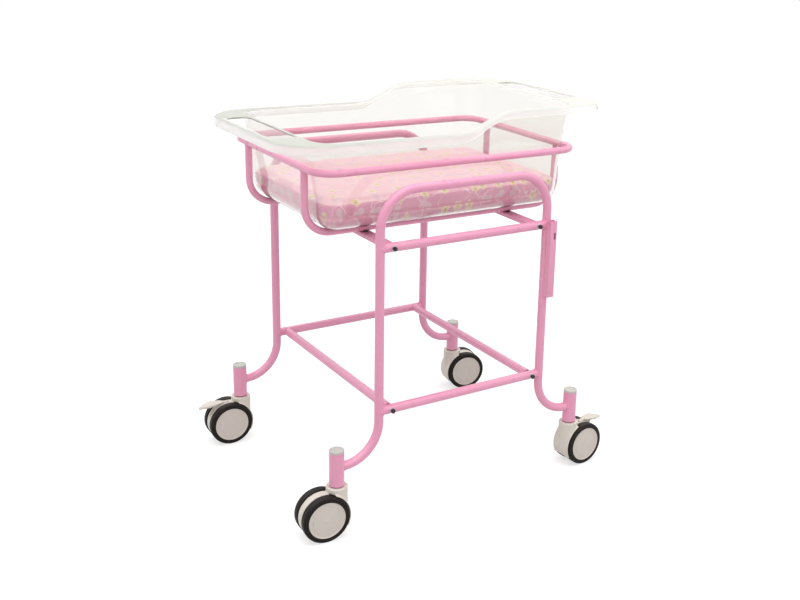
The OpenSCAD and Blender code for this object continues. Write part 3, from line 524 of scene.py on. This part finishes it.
bmesh.ops.bevel(work, geom=sharp, offset=1 * mm, segments=3, profile=0.5, affect="EDGES")
for face in work.faces:
    face.smooth = True
work.to_mesh(tray.data)
work.free()
tray.data.set_sharp_from_angle(angle=math.radians(40))
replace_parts(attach(tray, "tray"), "tray")
print("slot edges bevelled", len(sharp), "faces", len(tray.data.polygons))

# %% [markdown]
# ## Beads along paths
#
# Weld beads and the piping of the mattress are both a round section swept along a
# path. A curve with a bevel would do for one; a tree does all of them at once and can
# ripple the section, as each drop of weld metal does.

# %% Bead tree
bead_tree, given = blank_tree("bead_along_path", Radius="Float", Ripple="Float",
                              Spacing="Float", Step="Float", Finish="Material")
path = put(bead_tree, "GeometryNodeResampleCurve", {
    "Curve": put(bead_tree, "GeometryNodeMeshToCurve", {"Mesh": given["Geometry"]}),
    "Length": given["Step"]}, mode="LENGTH")
along = put(bead_tree, "GeometryNodeSplineParameter").outputs["Length"]
turns = put(bead_tree, "ShaderNodeMath", {
    0: put(bead_tree, "ShaderNodeMath", {0: along, 1: given["Spacing"]}, operation="DIVIDE"),
    1: 2 * math.pi}, operation="MULTIPLY")
swell = put(bead_tree, "ShaderNodeMath", {
    0: put(bead_tree, "ShaderNodeMath", {0: turns}, operation="SINE"),
    1: given["Ripple"], 2: 1.0}, operation="MULTIPLY_ADD")
swept = put(bead_tree, "GeometryNodeCurveToMesh", {
    "Curve": put(bead_tree, "GeometryNodeSetCurveRadius", {"Curve": path, "Radius": swell}),
    "Profile Curve": put(bead_tree, "GeometryNodeCurvePrimitiveCircle", {
        "Resolution": 8, "Radius": given["Radius"]}),
    "Fill Caps": True})
put(bead_tree, "NodeGroupOutput", {"Geometry": put(bead_tree, "GeometryNodeSetMaterial", {
    "Geometry": put(bead_tree, "GeometryNodeRealizeInstances", {
        "Geometry": put(bead_tree, "GeometryNodeSetShadeSmooth", {"Geometry": swept})}),
    "Material": given["Finish"]})})


def loops(name, paths):
    """An object with an edge path for each list of points; the flag closes it."""
    points, edges = [], []
    for line, closed in paths:
        first = len(points)
        points += [tuple(p) for p in line]
        edges += [(i, i + 1) for i in range(first, len(points) - 1)]
        edges += [(len(points) - 1, first)] * closed
    return to_object(name, points, edges)


# %% [markdown]
# ## Weld beads
#
# Each crossbar, foot and rail is welded all round where it meets the next tube. A bead
# follows the curve where two cylinders cross: the smaller tube's circle, pushed back
# to the bigger tube's surface. The ripples are 2 mm apart under the powder coat.

# %% Weld beads
tube_r, socket_r, rail_r = 9.5 * mm, 15.5 * mm, 7.5 * mm
arch_y, leg_x, caster_x = 255 * mm, 204 * mm, 300 * mm
ring_z, ring_x, rail_x, rail_y = 746.8 * mm, 312 * mm, 310 * mm, 139 * mm
upper_bar_z, lower_bar_z, foot_z = 597.5 * mm, 250 * mm, 148 * mm
pole_weld_x, pole_weld_len, pole_weld_sunk = 4.6 * mm, 22 * mm, 1.2 * mm
angles = np.linspace(0, 2 * math.pi, 48, endpoint=False)
beads = []
for y in (-arch_y, arch_y):
    for side in (-1, 1):
        around, over = tube_r * np.sin(angles), tube_r * np.cos(angles)
        for z, big, middle_x in ((upper_bar_z, tube_r, leg_x), (lower_bar_z, tube_r, leg_x),
                                 (foot_z, socket_r, caster_x)):
            reach = np.sqrt(np.maximum(big ** 2 - around ** 2, 0))
            beads.append((np.column_stack([side * (middle_x - reach), y + around, z + over]), True))
for y in (-rail_y, rail_y):
    for side in (-1, 1):
        x = rail_x + rail_r * np.cos(angles)
        reach = np.sqrt(np.maximum(rail_r ** 2 - (x - ring_x) ** 2, (rail_r / 2) ** 2))
        beads.append((np.column_stack(
            [side * x, y + rail_r * np.sin(angles), ring_z - reach]), True))
for z in (447 * mm, 507 * mm, 567 * mm):
    for x in (-pole_weld_x, pole_weld_x):
        beads.append(([(leg_x + x, -arch_y - tube_r + pole_weld_sunk, z + dz)
                       for dz in np.linspace(0, pole_weld_len, 8)], False))
welds = run_tree(loops("weld_beads", beads), bead_tree, Radius=1.5 * mm, Ripple=0.12,
                 Spacing=2 * mm, Step=0.5 * mm, Finish=powder_coat)
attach(welds, "frame")
print("weld beads", len(beads), "faces", len(welds.data.polygons))

# %% [markdown]
# ## Soft edges
#
# No moulded or forged part has a knife edge: plastic needs a radius to leave its
# mould, and a thin bright line on that radius tells the eye how big the part is. CAD
# edges are sharp, so each such part gets a copy with a small bevel. The caster bodies
# have edges that meet at every angle, where a bevel tangles. They are rebuilt from
# cubes of about 1 mm instead, and smoothed.

# %% Helpers for soft edges
def copy_of(name):
    """A copy of a CAD node as a new object, with its points merged."""
    mesh = nodes[name].data.copy()
    mesh.transform(nodes[name].matrix_world)
    if "custom_normal" in mesh.attributes:
        mesh.attributes.remove(mesh.attributes["custom_normal"])
    work = bmesh.new()
    work.from_mesh(mesh)
    bmesh.ops.remove_doubles(work, verts=work.verts, dist=0.005 * mm)
    bmesh.ops.dissolve_limit(work, angle_limit=math.radians(0.5), verts=work.verts,
                             edges=work.edges)
    work.to_mesh(mesh)
    work.free()
    made = bpy.data.objects.new("soft_" + name, mesh)
    scene.collection.objects.link(made)
    return made


def bevelled(name, body, finish, radius):
    """Replaces a CAD node by a copy with rounded edges."""
    made = copy_of(name)
    edges = made.modifiers.new("round", "BEVEL")
    edges.width, edges.segments, edges.angle_limit = radius, 3, math.radians(32)
    bake(made)
    made.data.materials.clear()
    made.data.materials.append(finish)
    made.data.set_sharp_from_angle(angle=math.radians(30))
    made.data.shade_smooth()
    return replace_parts(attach(made, body), name)


def moulded(name, body, finish, cube, passes):
    """Replaces a CAD node by a copy made of small cubes and smoothed."""
    made = copy_of(name)
    remesh = made.modifiers.new("remesh", "REMESH")
    remesh.mode, remesh.voxel_size = "VOXEL", cube
    even = made.modifiers.new("even", "SMOOTH")
    even.factor, even.iterations = 0.5, passes
    bake(made)
    made.data.materials.clear()
    made.data.materials.append(finish)
    made.data.shade_smooth()
    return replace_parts(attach(made, body), name)


# %% Caster bodies, pedals, caps and fasteners
for place_name in casters:
    moulded("caster_body_" + place_name, "caster_" + place_name,
                    plastics["moulded_nylon"], 1.1 * mm, 5)
for place_name in ("foot_rear", "head_front"):
    moulded("brake_pedal_" + place_name, "pedal_" + place_name,
                    plastics["moulded_nylon"], 0.7 * mm, 4)
for name, finish, slot, radius in (
        ("socket_caps", plastics["moulded_polypropylene"], "grey_plastic", 0.8 * mm),
        ("saddle_washers", zinc_plate, "steel", 0.4 * mm),
        ("lower_bolts", black_oxide, "black_bolt", 0.6 * mm),
        ("upper_bolts", black_oxide, "black_bolt", 0.6 * mm),
        ("pole_socket", powder_coat, "pink_enamel", 0.5 * mm),
        ("foot_strap", powder_coat, "pink_enamel", 1 * mm),
        ("head_strap", powder_coat, "pink_enamel", 1 * mm)):
    made = bevelled(name, "frame", finish, radius)
    print(made.name, len(made.data.polygons), "faces")

# %% [markdown]
# ## The printed cover
#
# The cover is a coated cotton in pink with a small flower and leaf print. The print
# has to run over the edge and down the sides without stretching, so it reads its own
# attribute, cloth, which unrolls the sides. One Voronoi cell holds one motif: its
# centre gives the place, and its random colour the turn and the kind. The sides get
# a deeper pink than the top as painted shade, which a second attribute tells apart.

# %% Cover fabric
cover_fabric, tree, place = blank_material("printed_cotton")
cloth = put(tree, "ShaderNodeAttribute", attribute_name="cloth").outputs["Vector"]
cell = put(tree, "ShaderNodeTexVoronoi", {"Vector": cloth, "Scale": 1 / (38 * mm),
                                          "Randomness": 0.8}, voronoi_dimensions="2D")
spot = put(tree, "ShaderNodeVectorMath", {0: cloth, 1: cell.outputs["Position"]},
           operation="SUBTRACT")
chance = put(tree, "ShaderNodeSeparateColor", {"Color": cell.outputs["Color"]}).outputs
xy = put(tree, "ShaderNodeSeparateXYZ", {0: spot}).outputs
away = put(tree, "ShaderNodeVectorMath", {0: spot}, operation="LENGTH")
angle = put(tree, "ShaderNodeMath", {
    0: put(tree, "ShaderNodeMath", {0: xy[1], 1: xy[0]}, operation="ARCTAN2"),
    1: put(tree, "ShaderNodeMath", {0: chance[0], 1: 2 * math.pi}, operation="MULTIPLY")})


def lobes(count, least, reach):
    """How far a motif with that many lobes reaches at each angle."""
    wave = put(tree, "ShaderNodeMath", {0: put(tree, "ShaderNodeMath", {
        0: angle, 1: count / 2}, operation="MULTIPLY")}, operation="COSINE")
    return put(tree, "ShaderNodeMath", {
        0: put(tree, "ShaderNodeMath", {0: wave}, operation="ABSOLUTE"), 1: reach, 2: least},
        operation="MULTIPLY_ADD")


def within(radius, shift=0.0):
    """1 inside a radius, which may vary with the angle, and 0 outside it."""
    return put(tree, "ShaderNodeMath", {0: away, 1: put(tree, "ShaderNodeMath", {
        0: radius, 1: shift})}, operation="LESS_THAN")


petals, leaves = lobes(5, 4.5 * mm, 5 * mm), lobes(2, 1 * mm, 11 * mm)
leafy = put(tree, "ShaderNodeMath", {0: chance[1], 1: 0.5}, operation="GREATER_THAN")
flowery = put(tree, "ShaderNodeMath", {0: 1.0, 1: leafy}, operation="SUBTRACT")
fade = put(tree, "ShaderNodeTexNoise", {"Vector": cloth, "Scale": 12, "Detail": 2})
# The vines are edges of large cells, bent by up to 8 mm so that none runs straight
wander = put(tree, "ShaderNodeTexNoise", {"Vector": cloth, "Scale": 40, "Detail": 1})
bent = put(tree, "ShaderNodeVectorMath", {0: put(tree, "ShaderNodeVectorMath", {
    0: wander.outputs["Color"], "Scale": 40 * mm}, operation="SCALE"), 1: cloth})
vines = put(tree, "ShaderNodeTexVoronoi", {"Vector": bent, "Scale": 1 / (55 * mm)},
            voronoi_dimensions="2D", feature="DISTANCE_TO_EDGE")
layers = (
    (put(tree, "ShaderNodeMath", {0: vines, 1: 0.012}, operation="LESS_THAN"), None, "#f6dfe4"),
    (within(petals, 1.3 * mm), flowery, "#f8e9e4"), (within(petals), flowery, "#dcc784"),
    (within(0.0, 2.6 * mm), flowery, "#a78f6a"),
    (within(leaves, 0.9 * mm), leafy, "#f3d9df"), (within(leaves), leafy, "#dcb5c6"))
top_cloth = put(tree, "ShaderNodeMix", {"Factor": fade, "A": linear("#ebbbc6"),
                                        "B": linear("#f0cbcf")}, data_type="RGBA")
# The sides are a deeper pink than the top: painted shade, as the sides get less light
side_cloth_painted_shade = put(tree, "ShaderNodeMix", {"Factor": fade, "A": linear("#de90b1"),
                                         "B": linear("#e8a4bf")}, data_type="RGBA")
border = put(tree, "ShaderNodeAttribute", attribute_name="border").outputs["Fac"]
colour = put(tree, "ShaderNodeMix", {"Factor": border, "A": top_cloth, "B": side_cloth_painted_shade},
             data_type="RGBA")
for mask, kind, code in layers:
    if kind is not None:
        mask = put(tree, "ShaderNodeMath", {0: mask, 1: kind}, operation="MULTIPLY")
    colour = put(tree, "ShaderNodeMix", {
        "Factor": put(tree, "ShaderNodeMath", {0: mask, 1: 0.8}, operation="MULTIPLY"),
        "A": colour, "B": linear(code)}, data_type="RGBA")
# The yarns are 0.3 mm apart and are drawn 1.4 mm apart, so that they show at all
warp, weft = (put(tree, "ShaderNodeTexWave", {"Vector": cloth, "Scale": 0.314 / (1.4 * mm)},
                  bands_direction=d) for d in "XY")
weave = put(tree, "ShaderNodeMath", {0: warp, 1: weft}, operation="MAXIMUM")
put(tree, "ShaderNodeOutputMaterial", {"Surface": put(tree, "ShaderNodeBsdfPrincipled", {
    "Base Color": colour, "Sheen Weight": 0.15,
    "Roughness": put(tree, "ShaderNodeMapRange", {"Value": weave, "To Min": 0.85,
                                                  "To Max": 0.6}),
    "Normal": put(tree, "ShaderNodeBump", {"Height": weave, "Strength": 0.25,
                                           "Distance": 0.3 * mm})})})

# %% [markdown]
# ## The mattress
#
# A foam block in a sewn cover pulls tight at the seams and swells between them. The
# start shape is 2 mm small all round. A cloth simulation with air pressure swells it,
# and a cap keeps each point within the room that the tray leaves.

# %% Mattress start shape
pad_low, pad_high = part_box("mattress_cover")
pad_x, pad_y, pad_r = pad_high.x, pad_high.y, 34 * mm
pad_h, pad_draw, tight, top_r, base_r, crown = 60 * mm, 3.5 * mm, 2 * mm, 6 * mm, 28 * mm, 4 * mm
near_corner, sim_frames = 40 * mm, 20
pad_xs, pad_ys = np.linspace(-0.86, 0.86, 24) * pad_x, np.linspace(-0.8, 0.8, 14) * pad_y


def pad_ring(h, inset, draw):
    """A ring of the mattress: it leans out with the tray, drawn in between the corners."""
    inset -= flare * h
    r = max(3 * mm, pad_r - inset)
    line = outline(pad_x - inset, pad_x - inset, pad_y - inset, r, r,
                   pad_xs * (1 - inset / pad_x), pad_ys * (1 - inset / pad_y), 8)
    bow_x = np.cos(np.pi / 2 * np.minimum(1, np.abs(line[:, 1]) / (pad_y - pad_r)))
    bow_y = np.cos(np.pi / 2 * np.minimum(1, np.abs(line[:, 0]) / (pad_x - pad_r)))
    ends = np.abs(line[:, 0]) > pad_x - pad_r - near_corner
    sides = np.abs(line[:, 1]) > pad_y - pad_r - near_corner
    pulled = line - np.sign(line) * draw * np.column_stack([bow_x * ends, bow_y * sides])
    return np.column_stack([pulled, np.full(len(line), pad_low.z + h)])


pad_rings = [pad_ring(tight / 2 + base_r * (1 - math.cos(a)),
                      tight + base_r * (1 - math.sin(a)), 0)
             for a in np.radians(np.linspace(0, 80, 7))]
pad_rings += [pad_ring(pad_h - tight - top_r * (1 - math.sin(a)),
                       tight + top_r * (1 - math.cos(a)), pad_draw)
              for a in np.radians(np.linspace(0, 90, 7))]
pad_rings += [pad_ring(pad_h - tight + crown * math.sin(k * math.pi / 2),
                       20 * mm + k * 140 * mm, 0) for k in (0.3, 0.6, 0.9)]
mattress = skin("mattress", pad_rings)
remesh = mattress.modifiers.new("remesh", "REMESH")
remesh.mode, remesh.voxel_size = "VOXEL", 5.5 * mm
bake(mattress)
print("mattress start", len(mattress.data.vertices), "points")

# %% Swell the mattress
start = np.array([v.co for v in mattress.data.vertices])
cloth_mod = mattress.modifiers.new("swell", "CLOTH")
cloth_mod.settings.use_pressure = True
cloth_mod.settings.uniform_pressure_force = 4
cloth_mod.settings.effector_weights.gravity = 0
for step in range(1, sim_frames + 1):
    scene.frame_set(step)
bake(mattress)
scene.frame_set(1)
swollen = np.array([v.co for v in mattress.data.vertices])
moved_by = swollen - start
level_move = np.linalg.norm(moved_by[:, :2], axis=1, keepdims=True)
side_room, top_room = 3 * mm, 6 * mm
moved_by[:, :2] *= np.minimum(1, side_room / np.maximum(level_move, 1e-9))
moved_by[:, 2] = np.clip(moved_by[:, 2], -tight / 2, top_room)
mattress.data.vertices.foreach_set("co", (start + moved_by).ravel())
finer = mattress.modifiers.new("finer", "SUBSURF")
finer.levels = finer.render_levels = 1
bake(mattress)
print("swollen by up to", round(float(np.abs(swollen - start).max()) * 1000, 1), "mm")

# %% [markdown]
# ## Seam, puckers and unrolled cloth
#
# A seam runs round the side below its middle. Its thread pulls the cover in, which
# leaves a crease and short upright puckers, strongest at the corners. They are pressed
# in after the simulation, because a voxel mesh can't hold them. The same loop stores
# the cloth attribute for the print.

# %% Seam and puckers
seam_z = pad_low.z + 27 * mm
crease_depth, crease_reach, pucker_reach, dent = 3 * mm, 2.6 * mm, 20 * mm, 1.2 * mm
corner_start, corner_fade = 90 * mm, 60 * mm
points = np.array([v.co for v in mattress.data.vertices])
facing = np.array([v.normal for v in mattress.data.vertices])
upright = np.linalg.norm(facing[:, :2], axis=1)
outward = facing[:, :2] / np.maximum(upright[:, None], 1e-6)
gap = points[:, 2] - seam_z
crease = crease_depth * np.exp(-(gap / crease_reach) ** 2)
at_corner = np.prod(np.clip((np.abs(points[:, :2]) - (pad_x, pad_y) + corner_start)
                            / corner_fade, 0, 1), axis=1)
folds = np.array([noise.noise(Vector((p[0] * 75, p[1] * 75, p[2] * 9))) for p in points])
pucker = (0.8 * mm + 1.6 * mm * at_corner) * (0.5 + folds) * np.exp(-(gap / pucker_reach) ** 2)
press = (crease + np.clip(pucker, 0, 3 * mm)) * np.minimum(1, upright * 1.4)
points[:, :2] -= outward * press[:, None]
dents = np.array([noise.noise(Vector((p[0] * 11, p[1] * 11, 3.0))) for p in points])
points[:, 2] -= dent * (0.5 + dents) * np.clip(facing[:, 2], 0, 1)
mattress.data.vertices.foreach_set("co", points.ravel())
drop = np.clip(pad_low.z + pad_h - 6 * mm - points[:, 2], 0, None)
unrolled = points[:, :2] + outward * (drop * np.minimum(1, upright * 2))[:, None]
stored = mattress.data.attributes.new("cloth", "FLOAT_VECTOR", "POINT")
stored.data.foreach_set("vector", np.column_stack([unrolled, 0 * drop]).ravel())
# Cloth that faces sideways is marked for the deeper pink of the painted side shade
border = np.clip((upright - 0.45) / 0.3, 0, 1)
stored = mattress.data.attributes.new("border", "FLOAT", "POINT")
stored.data.foreach_set("value", border)
mattress.data.materials.clear()
mattress.data.materials.append(cover_fabric)
mattress.data.shade_smooth()
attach(mattress, "mattress")
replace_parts(mattress, "mattress_cover", "mattress_foam")
print("mattress", len(mattress.data.polygons), "faces, top at", round(points[:, 2].max(), 4))

# %% [markdown]
# ## Piping, stitches and zip
#
# The seam is covered by a piped cord, with a row of stitches on each side, and the
# zip lies above it at the head end. All of them follow the swollen cloth, so their
# paths come from rays shot at its side. A stitch is a bead a few millimetres long; a
# coil zip's teeth are beads as well, so one tree makes both from a path.

# %% Bead row tree
row_tree, given = blank_tree("beads_in_a_row", Spacing="Float", Radius="Float",
                             Length="Float", Finish="Material")
spots = put(row_tree, "GeometryNodeCurveToPoints", {
    "Curve": put(row_tree, "GeometryNodeMeshToCurve", {"Mesh": given["Geometry"]}),
    "Length": given["Spacing"]}, mode="LENGTH")
bead = put(row_tree, "GeometryNodeMeshUVSphere", {
    "Segments": 6, "Rings": 5, "Radius": given["Radius"]})
stretch = put(row_tree, "ShaderNodeMath", {
    0: given["Length"], 1: put(row_tree, "ShaderNodeMath", {0: given["Radius"], 1: 2.0},
                               operation="MULTIPLY")}, operation="DIVIDE")
row = put(row_tree, "GeometryNodeInstanceOnPoints", {
    "Points": spots.outputs["Points"], "Instance": bead, "Rotation": spots.outputs["Rotation"],
    "Scale": put(row_tree, "ShaderNodeCombineXYZ", {"X": 1.0, "Y": 1.0, "Z": stretch})})
put(row_tree, "NodeGroupOutput", {"Geometry": put(row_tree, "GeometryNodeSetMaterial", {
    "Geometry": put(row_tree, "GeometryNodeSetShadeSmooth", {
        "Geometry": put(row_tree, "GeometryNodeRealizeInstances", {"Geometry": row})}),
    "Material": given["Finish"]})})

# %% Thread and piping finishes
sewing = {}
for name, pale, deep, pitch in (("piping_cotton", "#efb4c4", "#e5a2b6", 1.2 * mm),
                                ("sewing_thread", "#f6d5dd", "#e9bcc9", 0.8 * mm),
                                ("zip_nylon", "#efe6e6", "#dccfd0", 1 * mm)):
    sewing[name], tree, place = blank_material(name)
    # The twist of the yarn, drawn as slanting bands
    twist = put(tree, "ShaderNodeTexWave", {"Vector": place, "Scale": 0.314 / pitch},
                bands_direction="DIAGONAL")
    put(tree, "ShaderNodeOutputMaterial", {"Surface": put(tree, "ShaderNodeBsdfPrincipled", {
        "Base Color": put(tree, "ShaderNodeMix", {
            "Factor": twist, "A": linear(deep), "B": linear(pale)}, data_type="RGBA"),
        "Roughness": put(tree, "ShaderNodeMapRange", {"Value": twist, "To Min": 0.75,
                                                      "To Max": 0.55}),
        "Normal": put(tree, "ShaderNodeBump", {"Height": twist, "Strength": 0.4,
                                               "Distance": 0.2 * mm})})})

# %% Sew them on
side_of_pad = BVHTree.FromPolygons([v.co for v in mattress.data.vertices],
                                   [f.vertices for f in mattress.data.polygons])


def round_the_side(h, lift):
    """A loop round the mattress at a height, lifted off its cloth."""
    outer, inner_line = pad_ring(h, -20 * mm, 0), pad_ring(h, 25 * mm, 0)
    line = []
    for a, b in zip(outer, inner_line):
        start, way = Vector(a), Vector(b) - Vector(a)
        hit = side_of_pad.ray_cast(start, way.normalized())[0]
        line.append((hit or Vector(b)) - way.normalized() * lift)
    line = np.array(line)
    for _ in range(3):
        line = (np.roll(line, 1, 0) + 2 * line + np.roll(line, -1, 0)) / 4
    return line


seam_h = seam_z - pad_low.z
cord_r = 1.5 * mm
trims = [run_tree(loops("seam_piping", [(round_the_side(seam_h, 0.3 * mm), True)]), bead_tree,
                  Radius=cord_r, Ripple=0.04, Spacing=4 * mm, Step=2 * mm,
                  Finish=sewing["piping_cotton"]),
         run_tree(loops("seam_stitches", [(round_the_side(seam_h + side * 4 * mm, 0.1 * mm), True)
                                          for side in (-1, 1)]), row_tree,
                  Spacing=4 * mm, Radius=0.4 * mm, Length=2.8 * mm,
                  Finish=sewing["sewing_thread"])]
teeth = []
for side in (-1, 1):
    ring = round_the_side(seam_h + 9 * mm + side * 1.1 * mm, 0.4 * mm)
    teeth.append((ring[(ring[:, 0] > 0) & (np.abs(ring[:, 1]) < 120 * mm)], False))
teeth = [(line[np.argsort(line[:, 1])], closed) for line, closed in teeth]
trims.append(run_tree(loops("zip_teeth", teeth), row_tree, Spacing=1.8 * mm, Radius=0.7 * mm,
                      Length=1.3 * mm, Finish=sewing["zip_nylon"]))
for made in trims:
    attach(made, "mattress")
    print(made.name, len(made.data.polygons), "faces")

# %% [markdown]
# ## Stage and light
#
# The cot stands on a plain white floor in soft light: one large lamp high above its
# front, a weaker one from the right, and an even pale surround. The background is made
# white by what the camera sees of floor and surround, never by more light.

# %% Floor, surround and lamps
floor = to_object("floor", [(-9, -9, 0), (9, -9, 0), (9, 9, 0), (-9, 9, 0)], faces=[(0, 1, 2, 3)])
floor_paint, tree, place = blank_material("white_floor")


def looked_at(tree):
    """1 for rays from the camera, also where they came through plastic or off a gloss."""
    rays = put(tree, "ShaderNodeLightPath").outputs
    straight = put(tree, "ShaderNodeMath", {0: rays["Is Camera Ray"], 1: rays["Is Glossy Ray"]},
                   operation="MAXIMUM")
    return put(tree, "ShaderNodeMath", {0: straight, 1: rays["Is Transmission Ray"]},
               operation="MAXIMUM")


glow = put(tree, "ShaderNodeEmission", {"Color": linear("#ffffff"), "Strength": put(
    tree, "ShaderNodeMath", {0: looked_at(tree), 1: 0.58}, operation="MULTIPLY")})
put(tree, "ShaderNodeOutputMaterial", {"Surface": put(tree, "ShaderNodeAddShader", {
    0: put(tree, "ShaderNodeBsdfDiffuse", {"Color": linear("#c8c8c8")}), 1: glow})})
floor.data.materials.append(floor_paint)

world = bpy.data.worlds.new("surround")
scene.world = world
world.use_nodes = True
tree = world.node_tree
tree.nodes.clear()
even = put(tree, "ShaderNodeMapRange", {"Value": looked_at(tree), "To Min": 0.9,
                                        "To Max": 1.0})
# A light ceiling, seen only in glosses: it lays a pale sheen on the top of each tube
height = put(tree, "ShaderNodeSeparateXYZ", {
    0: put(tree, "ShaderNodeTexCoord").outputs["Generated"]}).outputs["Z"]
ceiling = put(tree, "ShaderNodeMapRange", {"Value": height, "From Min": 0.3, "From Max": 0.9,
                                           "To Min": 0.0, "To Max": 3.0})
strength = put(tree, "ShaderNodeMath", {
    0: put(tree, "ShaderNodeLightPath").outputs["Is Glossy Ray"], 1: ceiling, 2: even},
    operation="MULTIPLY_ADD")
put(tree, "ShaderNodeOutputWorld", {"Surface": put(tree, "ShaderNodeBackground", {
    "Color": linear("#ffffff"), "Strength": strength})})

for name, spot_at, size, power in (("key_lamp", (-0.5, -0.9, 3.1), 2.2, 27),
                                   ("fill_lamp", (2.4, -2.0, 1.5), 1.8, 6)):
    lamp = bpy.data.lights.new(name, "AREA")
    lamp.energy, lamp.size = power, size
    held = bpy.data.objects.new(name, lamp)
    held.location = spot_at
    held.rotation_euler = (Vector((0, 0, 0.45)) - held.location).to_track_quat("-Z", "Y").to_euler()
    scene.collection.objects.link(held)
scene.view_settings.view_transform = "Standard"
